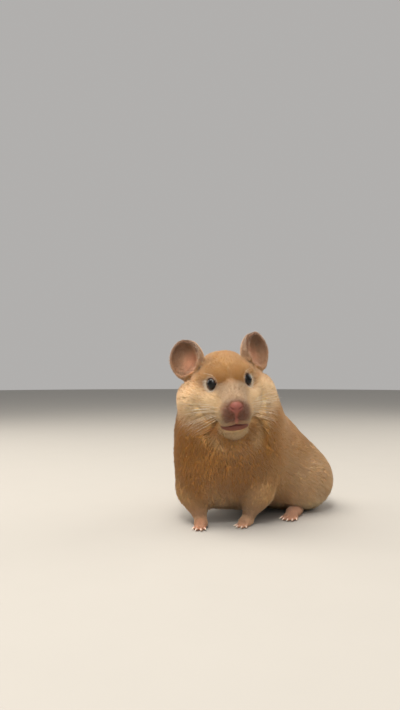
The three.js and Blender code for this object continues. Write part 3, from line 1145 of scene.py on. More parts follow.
    def ears(self, paint: Paint, points: Array, ears: Array) -> None:
        """Ears: dark toward tip and rim, with a lit inside and golden fur low on the back.

        Args:
            paint: the colours in the making.
            points: (n, 3) places.
            ears: share of the ears.
        """
        p = self.palette
        paint.lay(p.ear, ears)
        for ear in self.animal.ears:
            front, across, up = ((points - ear.centre) @ ear.turn).T
            near = (np.linalg.norm(points - ear.centre, axis=1) < self.cup_reach).astype(float) * ears
            inner = ear.outer.distance(*points.T, False)
            lit = ramp(oval((across * ear.side.sign, up), (-1.5, -4.5), (8.0, 8.5)), 1.25, 0.35)
            edge = ramp(front, ear.rim - 1.8, ear.rim - 0.4) * ramp(up, -5.0, 1.0)
            paint.lay(p.ear_rim, 0.55 * near * ramp(up, 0.0, 8.0))
            paint.lay(p.ear_inside, near * ramp(inner, -0.3, -0.8) * lit)
            paint.lay(p.ear_rim, 0.8 * near * edge)
            paint.lay(p.golden, 0.7 * near * ramp(up, -5.5, -9.5) * ramp(inner, -0.9, -0.2))

    def mouth(self, paint: Paint, place: Array) -> None:
        """Nose pad, cleft, lips, and a dark line of painted shade in the crease between them.

        Args:
            paint: the colours in the making.
            place: f, l and u of each place.
        """
        p, h = self.palette, self.animal.head
        paint.lay(p.nose, 0.95 * ramp(oval(place, h.pad, (2.6, 3.0, 2.6)), 1.35, 0.95))
        paint.lay(p.nose, 0.6 * self.cleft(place, (1.3, 0.4), -17.3))
        paint.lay(p.lips, 0.95 * h.mouth.lips(*place))
        # painted shade in the crease between the lips
        paint.lay(p.mouth, h.mouth.line(*place))


# ---------------------------------------------------------------------------------------------
# Finishes
# ---------------------------------------------------------------------------------------------

@dataclass(frozen=True)
class Finish:
    """A surface: colour from an attribute, softly mottled, and plain numbers for gloss and sheen."""

    name: str
    attribute: str = "markings"
    roughness: float = 0.6
    specular: float = 0.35
    sheen: float = 0.0
    sheen_roughness: float = 0.5
    sheen_tint: Point = (1.0, 0.93, 0.82)
    mottle: float = 0.05
    mottle_scale: float = 700.0
    ior: float = 1.45
    subsurface: float = 0.0
    blood: Point = (1.0, 0.36, 0.22)
    depth: float = 0.0016

    def shader(self) -> tuple[bpy.types.Material, bpy.types.NodeTree, bpy.types.Node]:
        """A new material with its main shader set from the plain numbers.

        Returns:
            The material, its node tree and the shader node.
        """
        material = bpy.data.materials.new(self.name)
        material.use_nodes = True
        tree = material.node_tree
        shader = next(n for n in tree.nodes if n.type == "BSDF_PRINCIPLED")
        values = {
            "Roughness": self.roughness, "Specular IOR Level": self.specular, "IOR": self.ior,
            "Sheen Weight": self.sheen, "Sheen Roughness": self.sheen_roughness,
            "Sheen Tint": (*self.sheen_tint, 1.0),
            "Subsurface Weight": self.subsurface, "Subsurface Radius": self.blood,
            "Subsurface Scale": self.depth,
        }
        for socket, value in values.items():
            shader.inputs[socket].default_value = value
        return material, tree, shader

    def colour(self, tree: bpy.types.NodeTree) -> bpy.types.NodeSocket:
        """The attribute's colour, made a little lighter and darker by noise.

        Args:
            tree: the material's nodes.

        Returns:
            The socket that carries the colour.
        """
        paint = tree.nodes.new("ShaderNodeAttribute")
        paint.attribute_name = self.attribute
        noise = self.noise(tree, self.mottle_scale, 3.0)
        span = tree.nodes.new("ShaderNodeMapRange")
        span.inputs["To Min"].default_value = 1.0 - self.mottle
        span.inputs["To Max"].default_value = 1.0 + self.mottle
        tree.links.new(noise, span.inputs["Value"])
        mix = tree.nodes.new("ShaderNodeMix")
        mix.data_type, mix.blend_type = "RGBA", "MULTIPLY"
        mix.inputs["Factor"].default_value = 1.0
        tree.links.new(paint.outputs["Color"], mix.inputs["A"])
        tree.links.new(span.outputs["Result"], mix.inputs["B"])
        return mix.outputs["Result"]

    @staticmethod
    def noise(tree: bpy.types.NodeTree, scale: float, detail: float) -> bpy.types.NodeSocket:
        """Noise on the object's own coordinates.

        Args:
            tree: the material's nodes.
            scale: noise cells to the metre.
            detail: layers of finer noise.

        Returns:
            The socket that carries its strength.
        """
        place = tree.nodes.new("ShaderNodeTexCoord")
        noise = tree.nodes.new("ShaderNodeTexNoise")
        noise.inputs["Scale"].default_value = scale
        noise.inputs["Detail"].default_value = detail
        tree.links.new(place.outputs["Object"], noise.inputs["Vector"])
        return noise.outputs["Fac"]

    def material(self) -> bpy.types.Material:
        """The finish as a material."""
        material, tree, shader = self.shader()
        tree.links.new(self.colour(tree), shader.inputs["Base Color"])
        return material


@dataclass(frozen=True)
class SkinFinish(Finish):
    """Skin: matt under the coat, moister and finely pitted where it is bare."""

    bare_roughness: float = 0.42
    hair_scale: float = 2600.0
    pore_scale: float = 3400.0
    relief: float = 0.00012
    strength: float = 0.5

    def material(self) -> bpy.types.Material:
        """Adds a roughness that follows the bare places, short-hair relief and pores.

        Returns:
            The material.
        """
        material, tree, shader = self.shader()
        tree.links.new(self.colour(tree), shader.inputs["Base Color"])
        bare = tree.nodes.new("ShaderNodeAttribute")
        bare.attribute_name = "bare"
        gloss = tree.nodes.new("ShaderNodeMapRange")
        gloss.inputs["To Min"].default_value = self.roughness
        gloss.inputs["To Max"].default_value = self.bare_roughness
        tree.links.new(bare.outputs["Fac"], gloss.inputs["Value"])
        tree.links.new(gloss.outputs["Result"], shader.inputs["Roughness"])
        pores = tree.nodes.new("ShaderNodeTexVoronoi")
        pores.inputs["Scale"].default_value = self.pore_scale
        place = tree.nodes.new("ShaderNodeTexCoord")
        tree.links.new(place.outputs["Object"], pores.inputs["Vector"])
        relief = tree.nodes.new("ShaderNodeMix")
        relief.data_type = "FLOAT"
        tree.links.new(bare.outputs["Fac"], relief.inputs["Factor"])
        tree.links.new(self.noise(tree, self.hair_scale, 4.0), relief.inputs["A"])
        tree.links.new(pores.outputs["Distance"], relief.inputs["B"])
        bump = tree.nodes.new("ShaderNodeBump")
        bump.inputs["Strength"].default_value = self.strength
        bump.inputs["Distance"].default_value = self.relief
        tree.links.new(relief.outputs["Result"], bump.inputs["Height"])
        tree.links.new(bump.outputs["Normal"], shader.inputs["Normal"])
        return material


SKIN = SkinFinish("skin", roughness=0.75, specular=0.3, subsurface=0.12, mottle=0.10)
COAT = Finish("coat", roughness=0.7, specular=0.15, sheen=0.2, subsurface=0.3,
              mottle=0.06, mottle_scale=300.0)
EYE = Finish("eye", "tone", roughness=0.03, specular=0.36, mottle=0.2, mottle_scale=1500.0)
HORN = Finish("horn", "tone", roughness=0.32, specular=0.45, mottle=0.08, subsurface=0.1)
WHISKER = Finish("whisker", "tone", roughness=0.4, specular=0.4, mottle=0.04)
TABLE = Finish("table", "tone", roughness=0.75, specular=0.2, mottle=0.015, mottle_scale=40.0)


# ---------------------------------------------------------------------------------------------
# Meshes
# ---------------------------------------------------------------------------------------------

def hand_over(name: str, points: Array, faces: Array, finish: Finish, colours: Array,
              stage: bool = False) -> bpy.types.Object:
    """Makes an object from arrays, in metres and in the frame of the solids.

    Args:
        name: the object's name.
        points: (n, 3) places in millimetres.
        faces: (m, 3) or (m, 4) corners, turned outward.
        finish: the surface.
        colours: (n, 3) linear colours, kept under the finish's attribute name.
        stage: True for the floor, which isn't part of the animal.

    Returns:
        The new object.
    """
    count, sides = faces.shape
    mesh = bpy.data.meshes.new(name)
    mesh.vertices.add(len(points))
    mesh.vertices.foreach_set("co", ((points + STAND) * MM).astype(np.float32).ravel())
    mesh.loops.add(count * sides)
    mesh.loops.foreach_set("vertex_index", faces.astype(np.int32).ravel())
    mesh.polygons.add(count)
    mesh.polygons.foreach_set("loop_start", np.arange(0, count * sides, sides, dtype=np.int32))
    mesh.update(calc_edges=True)
    mesh.polygons.foreach_set("use_smooth", np.ones(count, bool))
    paint = mesh.color_attributes.new(finish.attribute, "FLOAT_COLOR", "POINT")
    rows = np.concatenate([colours, np.ones((len(points), 1))], axis=1)
    paint.data.foreach_set("color", rows.astype(np.float32).ravel())
    mesh.materials.append(bpy.data.materials.get(finish.name) or finish.material())
    made = bpy.data.objects.new(name, mesh)
    bpy.context.scene.collection.objects.link(made)
    if stage:
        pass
    else:
        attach(made, BODY)
        log.info("%s: %d vertices, %d faces", name, len(points), count)
    return made


def rings(middles: Array, radii: Array, first: Array, second: Array, sides: int) -> Array:
    """Rings of points one after another: m + r (cos θ · a + sin θ · b).

    Args:
        middles: (k, 3) middles m of the rings.
        radii: (k,) radii r.
        first: the direction a, one for all rings or one for each.
        second: the direction b, likewise.
        sides: points on a ring.

    Returns:
        (k · sides, 3) points.
    """
    angle = np.linspace(0.0, 2.0 * math.pi, sides, endpoint=False)[None, :, None]
    first, second = (np.broadcast_to(way, middles.shape)[:, None] for way in (first, second))
    round_it = np.cos(angle) * first + np.sin(angle) * second
    return (middles[:, None] + radii[:, None, None] * round_it).reshape(-1, 3)


def ring_faces(count: int, sides: int, closed: bool = True) -> Array:
    """Triangles of a first point, rings of points and a last point: a fan, walls from ring to ring, a fan.

    Args:
        count: how many rings there are.
        sides: points on a ring.
        closed: False where there is no last point.

    Returns:
        (m, 3) corners.
    """
    j = np.arange(sides)
    after = (j + 1) % sides
    rows = 1 + np.arange(count - 1)[:, None] * sides
    a, b, c, d = rows + j, rows + after, rows + sides + after, rows + sides + j
    parts = [np.stack(corners, -1).reshape(-1, 3) for corners in ((a, d, c), (a, c, b))]
    parts.append(np.stack([0 * j, 1 + j, 1 + after], -1))
    last = 1 + (count - 1) * sides
    if closed:
        parts.append(np.stack([0 * j + last + sides, last + after, last + j], -1))
    return np.concatenate(parts)


def tube(path: Array, radii: Array, sides: int) -> tuple[Array, Array]:
    """A round rod of rings along a path, closed by a point at each end.

    Args:
        path: (k, 3) points of the middle line.
        radii: (k,) radii.
        sides: corners round the rod.

    Returns:
        Vertices and triangles.
    """
    along = unit(np.gradient(path, axis=0))
    guide = UP if abs(along[:, 2].mean()) < 0.8 else np.array([1.0, 0.0, 0.0])
    first = unit(np.cross(along, guide))
    points = rings(path, radii, first, np.cross(along, first), sides)
    return np.concatenate([path[:1], points, path[-1:]]), ring_faces(len(path), sides)[:, [0, 2, 1]]


def shaded(share: Array, sides: int, root: Point, tip: Point) -> Array:
    """Colours of a tube's points, running from root to tip: a (1 − s) + b s.

    Args:
        share: (k,) how far along the tube each ring stands, 0 to 1.
        sides: corners round the tube.
        root: display colour at the root.
        tip: display colour at the tip.

    Returns:
        One linear colour for each point.
    """
    share = np.concatenate([[0.0], np.repeat(share, sides), [1.0]])[:, None]
    return linear(*root) * (1 - share) + linear(*tip) * share


def joined(parts: list[tuple[Array, Array]]) -> tuple[Array, Array]:
    """Several meshes as one."""
    offsets = np.cumsum([0] + [len(points) for points, _ in parts[:-1]])
    return (np.concatenate([points for points, _ in parts]),
            np.concatenate([faces + offset for (_, faces), offset in zip(parts, offsets)]))


@dataclass
class Skin:
    """The one skin under the coat, drawn from the form's distance."""

    animal: Hamster
    lie: Lie
    markings: Markings
    # painted shade: where the coat covers it, the skin's colour is darkened to this share
    shade_under_coat: float = 0.8
    least_slope: float = 0.2
    most_move: float = 0.4
    axes: tuple[Array, Array, Array] = (
        spaced((-37.26, 1.0), (-26.26, 0.5), (38.74, 1.0)),
        spaced((-26.81, 0.5), (-8, 0.6), (10, 0.5), (27, 1.2), (46, 1.4), (93, 1.0)),
        spaced((-0.5, 0.5), (6, 1.3), (44.03, 0.5), (105, 1.0)),
    )

    def build(self) -> bpy.types.Object:
        """Draws the surface, moves each vertex onto the form, and colours it, with painted shade where the
        coat covers it.

        Each vertex moves by d ∇d / |∇d|² against the slope, which sets it on the surface.

        Returns:
            The skin's object; its vertices and normals stay in the class for the coat.
        """
        form = self.animal.form
        points, quads = surface_net(self.axes, form.on_grid(self.axes))
        here = form.at(points)
        slope = form.slope(points, here=here)
        move = here / np.maximum((slope ** 2).sum(1), self.least_slope)
        move = np.clip(move, -self.most_move, self.most_move)
        points = points - move[:, None] * slope
        points[:, 2] = np.maximum(points[:, 2], 0.0)
        self.points, self.quads, self.normals = points, quads, unit(slope)
        self.shares = self.lie.shares(points)
        self.bare = self.markings.bare(points)
        colour = self.markings.skin(points, self.shares)
        # painted shade under the coat; full colour only where the skin is bare or thinly furred
        shade = self.shade_under_coat + (1.0 - self.shade_under_coat) * np.maximum(self.bare, self.uncovered())[:, None]
        made = hand_over("skin", points, quads, SKIN, colour * shade)
        bare = made.data.attributes.new("bare", "FLOAT", "POINT")
        bare.data.foreach_set("value", self.bare.astype(np.float32))
        flesh = ["head", "lower_jaw", "nose", "neck", "trunk", "tail"]
        flesh += [f"{part}_{side.name}" for side in SIDES
                  for part in ("ear", "foreleg", "forefoot", "hindleg", "hindfoot")]
        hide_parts(*flesh)
        return made

    def uncovered(self) -> Array:
        """How much the thin coat of ears, feet and tail lets the skin show, 0 to 1."""
        return np.clip(self.shares[:, THIN].sum(1), 0.0, 1.0)


@dataclass
class Eyes:
    """The two eyeballs, each a sphere with a slightly raised front."""

    head: Head
    rows: int = 40
    columns: int = 64
    bulge: float = 0.04
    iris: Span = (0.5, 0.9)
    pupil_tone: Point = (0.02, 0.02, 0.02)
    iris_tone: Point = (0.08, 0.05, 0.04)

    def build(self) -> None:
        """Radius R (1 + bulge · max(cos φ, 0)³) at angle φ from the way the eye looks."""
        radius = self.head.eye_radius
        angle = np.linspace(0.0, math.pi, self.rows + 2)[1:-1]
        reach = radius * (1.0 + self.bulge * np.maximum(np.cos(angle), 0.0) ** 3)
        for side in SIDES:
            axis, centre = self.head.eye_axis(side), self.head.eye_centre(side)
            guide = unit(np.cross(axis, UP))
            path = centre + (reach * np.cos(angle))[:, None] * axis
            ends = centre + np.array([[radius * (1.0 + self.bulge)], [-radius]]) * axis
            ball = rings(path, reach * np.sin(angle), guide, np.cross(axis, guide), self.columns)
            points = np.concatenate([ends[:1], ball, ends[1:]])
            tilt = np.arccos(np.clip(unit(points - centre) @ axis, -1, 1))
            share = ramp(tilt, *self.iris)[:, None]
            colours = linear(*self.pupil_tone) * (1 - share) + linear(*self.iris_tone) * share
            faces = ring_faces(self.rows, self.columns)
            made = hand_over(f"eyeball_{side.name}", points, faces, EYE, colours)
            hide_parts(f"eye_{side.name}")


@dataclass
class Claws:
    """The claws of each foot: curved cones, pale at the tip."""

    feet: list[Foot]
    radius: float = 0.52
    droop: float = -2.0
    bend: float = 26.0
    buried: float = 0.7
    root: tuple[float, float] = (0.6, 0.42)
    taper: float = 0.93
    clear: float = 0.02
    rings: int = 9
    sides: int = 10
    root_tone: Point = (0.80, 0.62, 0.55)
    tip_tone: Point = (0.93, 0.88, 0.80)

    def build(self) -> None:
        """Each claw runs on from its toe: its line bends down evenly, and r = R (1 − taper · s^1.6)."""
        for foot in self.feet:
            parts, tones = [], []
            for fan, reach in foot.toes:
                toe = foot.toe(fan)
                s = np.linspace(0.0, 1.0, self.rings)
                step = (foot.claw + self.buried) / (self.rings - 1)
                tilt = np.radians(self.droop + self.bend * s)
                run = np.concatenate([[0.0], np.cumsum(np.cos(tilt[:-1]))]) * step
                drop = np.concatenate([[0.0], np.cumsum(np.sin(tilt[:-1]))]) * step
                root = toe.at((reach - self.root[0], 0, foot.rise + self.root[1]))
                path = root + run[:, None] * toe.turn[:, 0] - drop[:, None] * UP
                points, faces = tube(path, self.radius * (1.0 - self.taper * s ** 1.6), self.sides)
                points[:, 2] = np.maximum(points[:, 2], self.clear)
                parts.append((points, faces))
                tones.append(shaded(s, self.sides, self.root_tone, self.tip_tone))
            points, faces = joined(parts)
            made = hand_over(f"claws_{foot.name}", points, faces, HORN, np.concatenate(tones))
            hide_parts(*[f"claw_{foot.name}_{i + 1}" for i in range(len(foot.toes))])


class Growth(Enum):
    """Where whiskers grow, with their length and rise, or none where both are drawn at random."""

    PAD = (None, None)
    BROW = (6.0, 0.5)
    CHEEK = (9.0, 0.0)


WHISKER_ROOTS = (
    *[(root, Growth.PAD) for root in (
        (24.5, 6.6, -7.6), (22.6, 7.4, -7.2), (20.6, 8.2, -6.8),
        (25.0, 6.9, -9.2), (23.2, 7.8, -9.0), (21.2, 8.8, -8.8), (19.2, 9.8, -8.6),
        (24.8, 7.2, -11.0), (23.0, 8.2, -10.9), (21.0, 9.2, -10.8), (19.0, 10.2, -10.7),
        (24.0, 7.2, -12.8), (22.2, 8.2, -12.8), (20.2, 9.2, -12.8))],
    ((16.5, 9.0, 8.4), Growth.BROW), ((6.0, 18.5, -7.0), Growth.CHEEK), ((4.0, 19.0, -9.5), Growth.CHEEK),
)


@dataclass
class Whiskers:
    """Stiff pale hairs on the pads of the muzzle, over the eyes and on the cheeks."""

    animal: Hamster
    radius: float = 0.085
    taper: float = 0.85
    sides: int = 5
    steps: int = 10
    landing: int = 6
    buried: float = 0.4
    lengths: Span = (13, 20)
    back: Span = (-0.25, 0.1)
    lift: Span = (-0.12, 0.12)
    sag: float = 0.34
    drop: float = 0.10
    root_tone: Point = (0.90, 0.82, 0.70)
    tip_tone: Point = (0.98, 0.96, 0.92)

    def build(self) -> None:
        """One object of whiskers for each side of the head."""
        rng = np.random.default_rng(SEED)
        share = np.linspace(0.0, 1.0, self.steps)
        radii = self.radius * (1.0 - self.taper * share)
        for side in SIDES:
            hairs = [tube(self.path(place, growth, side, share[:, None], rng), radii, self.sides)
                     for place, growth in WHISKER_ROOTS]
            points, faces = joined(hairs)
            tones = np.tile(shaded(share, self.sides, self.root_tone, self.tip_tone), (len(hairs), 1))
            made = hand_over(f"whiskers_{side.name}", points, faces, WHISKER, tones)

    def path(self, place: Point, growth: Growth, side: Side, s: Array,
             rng: np.random.Generator) -> Array:
        """A whisker's line, which sweeps out and back: root + L (s · out + s² · sag).

        The root is first set down on the skin, by steps d against the slope.

        Args:
            place: the root, forward, aside and up of the head's middle.
            growth: where it grows.
            side: the side of the head.
            s: (k, 1) shares of the length.
            rng: the source of random numbers.

        Returns:
            (k, 3) points.
        """
        head, form = self.animal.head, self.animal.form
        f, l, u = place
        root = head.mirrored((f - 1.6, l, u - 0.3), side)
        for _ in range(self.landing):
            root = root - form.at(root[None])[0] * unit(form.slope(root[None]))[0]
        back = rng.uniform(*self.back) + 0.055 * (f - 24.0)
        rise = 0.10 * (u + 10.0) + rng.uniform(*self.lift)
        length = rng.uniform(*self.lengths)
        if growth is not Growth.PAD:
            length, rise = growth.value
        out = head.stance.along((back + 0.1, side.sign * 1.0, rise))
        sag = head.stance.along((-1.0, 0.0, -0.35)) * self.sag - self.drop * UP
        return root - self.buried * out + length * (s * out + s * s * sag)


# ---------------------------------------------------------------------------------------------
# The coat
# ---------------------------------------------------------------------------------------------

@dataclass(frozen=True)
class Lock:
    """A piece of the coat: the tufts whose roots look this way from a middle."""

    name: str
    region: Region
    towards: Point
    slot: str = "golden_coat"


# painted shade along each tuft, darkest at the root deep in the coat, with a touch of painted light at the
# tip
TUFT_PAINTED_SHADE = (0.88, 0.88, 0.91, 0.97, 0.97, 1.0, 1.02)  # darker at the root, for each of its seven points

LOCKS = (
    Lock("coat_chest", Region.BODY, (-0.35, -1.0, -0.1)),
    Lock("coat_shoulder_left", Region.BODY, (0.9, -0.55, 0.35)),
    Lock("coat_shoulder_right", Region.BODY, (-1.0, -0.1, 0.45)),
    Lock("coat_flank_left", Region.BODY, (1.0, 0.25, -0.25)),
    Lock("coat_flank_right", Region.BODY, (-1.0, 0.25, -0.35)),
    Lock("coat_back", Region.BODY, (0.0, 0.55, 0.9)),
    Lock("coat_rump", Region.BODY, (0.0, 1.0, -0.25)),
    Lock("coat_belly", Region.BODY, (0.0, -0.1, -1.0), "cream_coat"),
    Lock("coat_crown", Region.HEAD, (-0.6, 0.0, 1.0)),
    Lock("coat_cheek_left", Region.HEAD, (-0.1, 1.0, -0.3), "cream_coat"),
    Lock("coat_cheek_right", Region.HEAD, (-0.1, -1.0, -0.3), "cream_coat"),
    Lock("coat_muzzle", Region.HEAD, (1.0, 0.0, -0.1), "cream_coat"),
    Lock("coat_throat", Region.HEAD, (0.2, 0.0, -1.0)),
    Lock("coat_foreleg_right", Region.FORELEG_RIGHT, (0, 0, 1)),
    Lock("coat_foreleg_left", Region.FORELEG_LEFT, (0, 0, 1)),
    Lock("coat_feet", Region.FEET, (0, 0, 1), "pink_skin"),
    Lock("coat_ears", Region.EARS, (0, 0, 1), "ear_skin"),
    Lock("coat_tail", Region.TAIL, (0, 0, 1), "pink_skin"),
)


@dataclass
class Coat:
    """Thin tufts over the skin, rooted at random, leaning along the lie and gathered into locks."""

    animal: Hamster
    skin: Skin
    lie: Lie
    markings: Markings
    total: int = 146000
    patch: float = 0.003
    most: int = 19900
    deepest: float = 4.2
    crowding: float = 2.6
    shallow: Span = (3.6, 1.0)
    fade: Span = (0.6, 0.1)
    thin_loss: float = 0.45
    ear_least: float = 0.9
    lowest: float = 0.25
    low: Span = (3.0, 1.0)
    low_loss: float = 0.6
    lock_spacing: float = 3.4
    quick_share: int = 3
    quick_width: float = 1.6
    short_share: float = 0.34
    short: Span = (0.5, 0.8)
    height_spread: Span = (0.92, 1.04)
    length_spread: Span = (0.85, 1.15)
    thin_lengths: Span = (1.0, 1.6)
    mid_run: float = 0.40
    mid_height: float = 0.62
    tip_run: float = 0.95
    tip_height: float = 0.95
    most_shift: float = 1.6
    buried: float = 0.3

    def build(self) -> None:
        """Roots, lengths, paths and colours of all tufts, then one object for each piece of coat."""
        rng = np.random.default_rng(SEED)
        self.plant(rng)
        self.comb(rng)
        colours = self.tones(rng)
        region = np.argmax(self.shares, axis=1)
        for lock in LOCKS:
            self.piece(lock, region, colours)

    def plant(self, rng: np.random.Generator) -> None:
        """Chooses the roots: even steps along the running sum of area × closeness of each triangle.

        Tufts stand closer where the coat is shallow, and thin out toward bare skin, on ears, feet and tail
        and near the floor. A root inside its triangle is a (1 − √p) + b √p (1 − q) + c √p q.

        Args:
            rng: the source of random numbers.
        """
        skin, form = self.skin, self.animal.form
        triangles = np.concatenate([skin.quads[:, [0, 1, 2]], skin.quads[:, [0, 2, 3]]])
        corners = skin.points[triangles]
        one, other = corners[:, 1] - corners[:, 0], corners[:, 2] - corners[:, 0]
        area = np.linalg.norm(np.cross(one, other), axis=1) / 2
        middle = corners.mean(1)
        depth = np.clip(-form.at(middle, skin=False), 0.0, 6.0)
        bare = skin.bare[triangles].mean(1)
        thin = skin.uncovered()[triangles].mean(1)
        closeness = (1.0 + self.crowding * ramp(depth, *self.shallow)) * ramp(bare, *self.fade)
        closeness = closeness * (1.0 - self.thin_loss * thin)
        ears = skin.shares[triangles, Region.EARS.value].mean(1)
        closeness = np.maximum(closeness, self.ear_least * ears)
        height = middle[:, 2]
        closeness *= (height > self.lowest) * (1.0 - self.low_loss * ramp(height, *self.low))
        total = self.total
        running = np.cumsum(area * closeness)
        steps = (np.arange(total) + rng.random(total)) / total * running[-1]
        chosen = np.minimum(np.searchsorted(running, steps), len(triangles) - 1)
        p, q = np.sqrt(rng.random((total, 1))), rng.random((total, 1))
        weights = np.concatenate([1 - p, p * (1 - q), p * q], axis=1)
        rows = triangles[chosen]
        self.roots = np.einsum("nk,nkd->nd", weights, skin.points[rows])
        self.normals = unit(np.einsum("nk,nkd->nd", weights, skin.normals[rows]))
        self.shares = np.einsum("nk,nkd->nd", weights, skin.shares[rows])
        self.level = form.at(self.roots, skin=False)
        self.depth = np.clip(-self.level, 0.0, self.deepest)

    def room(self) -> Array:
        """Longest hair at each root that stays off eyes, mouth and nose: a share of the gap to them.

        Returns:
            (n,) lengths.
        """
        head = self.animal.head
        place = head.stance.local(self.roots)
        gaps = [np.linalg.norm(self.roots - head.lid_centre(side), axis=1) - head.opening for side in SIDES]
        lips = np.maximum(head.mouth.gap(*place[:, 1:].T), 0.0)
        gaps.append(np.where(place[:, 0] > 15.0, lips, 99.0))
        gaps.append(np.linalg.norm(place - np.array(head.pad), axis=1) - 2.5 + 0.6)
        return 0.35 + 0.75 * np.min(gaps, axis=0)

    def fringe(self) -> Array:
        """How far the fur stands up at the foot and the inner edge of the ears, 0 to 1.

        Returns:
            (n,) strengths.
        """
        brush = np.zeros(len(self.roots))
        for ear in self.animal.ears:
            _, aside, up = ((self.roots - ear.centre) @ ear.turn).T
            near = np.linalg.norm(self.roots - ear.centre, axis=1) < 15.0
            edge = np.maximum(ramp(up, -4.0, -9.0), ramp(aside * ear.side.sign, -6.0, -9.0))
            brush = np.maximum(brush, near * edge)
        return brush * self.shares[:, Region.EARS.value]

    def comb(self, rng: np.random.Generator) -> None:
        """Sets the middle and tip of each tuft.

        A tuft is 0.9 + 1.9 × depth long and about as high as the coat is deep, up to its slope × length.
        Its middle stands at mid_height and its tip at tip_height of that height; both are moved along the
        normal until they lie so far above the root's own level in the coat's form, and are drawn toward
        the middle of their lock. Ears, feet and tail have short fur, longer at the fringe of the ears.

        Args:
            rng: the source of random numbers.
        """
        n = len(self.roots)
        thin, brush = self.shares[:, THIN].sum(1), self.fringe()
        under = np.where(rng.random(n) < self.short_share, rng.uniform(*self.short, n), 1.0)
        height = np.maximum(self.depth, 0.35) * rng.uniform(*self.height_spread, n) * under
        length = (0.9 + 1.9 * self.depth) * rng.uniform(*self.length_spread, n) * (0.4 + 0.6 * under)
        length = length * (1 - thin) + rng.uniform(*self.thin_lengths, n) * thin * (1.0 + 0.7 * brush)
        length = np.minimum(length, self.room())
        slope = 0.34 + 0.05 * np.minimum(self.depth, 4.0) - 0.16 * thin + 0.12 * brush
        height = np.minimum(np.maximum(height, brush * 0.6), slope * length)
        along = self.lie.direction(self.roots, self.normals, self.shares)
        across = np.cross(along, self.normals)
        seeds, tags = self.gather(self.lock_spacing)
        swing = 0.22 * (tags[:, :1] - 0.5) + 0.5 * drift(self.roots, 11.0, 5)[:, :1]
        swing = swing + rng.normal(0, 0.13, (n, 1))
        along = unit(along + swing * across)
        self.across = np.cross(along, self.normals)
        lift = 1.0 + 0.10 * (tags[:, 1:2] - 0.5) + 0.06 * drift(self.roots, 6.0, 6)[:, :1]
        lift = np.where(thin[:, None] > 0.5, 1.0, lift)
        run = np.sqrt(np.maximum(length ** 2 - height ** 2, 0.02))[:, None]
        up = height[:, None] * lift
        pull = seeds - self.roots
        pull = pull - self.normals * dot(pull, self.normals)
        pull = pull * np.clip(self.depth / 4.0, 0.1, 1.0)[:, None]
        mid = self.roots + self.mid_run * run * along + self.mid_height * up * self.normals + 0.12 * pull
        tip = self.roots + self.tip_run * run * along + self.tip_height * up * self.normals + 0.30 * pull
        deep = (thin < 0.5)[:, None]
        for place, share in ((mid, self.mid_height), (tip, self.tip_height)):
            shift = self.level[:, None] + share * up - self.animal.form.at(place, skin=False)[:, None]
            place += np.where(deep, np.clip(shift, -self.most_shift, self.most_shift), 0.0) * self.normals
            place[:, 2] = np.maximum(place[:, 2], 0.05)
        self.mid, self.tip, self.length = mid, tip, length

    def gather(self, spacing: float) -> tuple[Array, Array]:
        """The lock each root belongs to: the nearest of one scattered point to each lattice cell.

        Args:
            spacing: lattice spacing in millimetres.

        Returns:
            The locks' middles (n, 3) and three random numbers for each.
        """
        cell = np.floor(self.roots / spacing)
        best = np.full(len(self.roots), np.inf)
        seeds, tags = np.zeros_like(self.roots), np.zeros_like(self.roots)
        for offset in product((-1, 0, 1), repeat=3):
            near = cell + offset
            place = (near + scatter(near, 1)) * spacing
            gap = ((place - self.roots) ** 2).sum(1)
            closer = gap < best
            best[closer], seeds[closer] = gap[closer], place[closer]
            tags[closer] = scatter(near[closer], 2)
        return seeds, tags

    def tones(self, rng: np.random.Generator) -> Array:
        """Colour of each tuft from the markings at its root, a touch lighter or darker."""
        colour = self.markings.skin(self.roots, self.shares)
        return colour * rng.normal(1.0, 0.035, (len(colour), 1))

    def spot(self, lock: Lock, rows: Array) -> Array:
        """Each root's place on the unwrap of its piece of skin, 0 to 1.

        Args:
            lock: the piece of coat.
            rows: its roots' numbers.

        Returns:
            (n, 2) places.
        """
        a = self.animal
        limbs = {Region.FORELEG_RIGHT: a.forearms[0], Region.FORELEG_LEFT: a.forearms[1], Region.TAIL: a.tail}
        if lock.region in limbs:
            return self.unrolled(limbs[lock.region], self.roots[rows])
        if lock.region is Region.EARS:
            return self.side_by_side([ear.centre for ear in a.ears], [ear.turn for ear in a.ears], rows)
        if lock.region is Region.FEET:
            return self.side_by_side([foot.stance.at((4.0, 0, 1.0)) for foot in a.feet],
                                     [foot.stance.turn[:, [2, 1, 0]] for foot in a.feet], rows)
        return self.opened(lock, self.roots[rows])

    @staticmethod
    def unrolled(limb: Limb, roots: Array) -> Array:
        """Legs and tail unroll about their lines: the angle round the line, and how far along it.

        Args:
            limb: the rod that gives the line.
            roots: (n, 3) places.

        Returns:
            (n, 2) places on the unwrap.
        """
        axis = unit(limb.end - limb.start)
        side = unit(np.cross(axis, [0.3, 0.2, 1.0]))
        off = roots - limb.start
        u = np.arctan2(off @ np.cross(axis, side), off @ side) / (2 * math.pi) + 0.5
        v = off @ axis
        v = (v - v.min()) / max(np.ptp(v), TINY)
        return 0.01 + 0.98 * np.stack([u, v], axis=1)

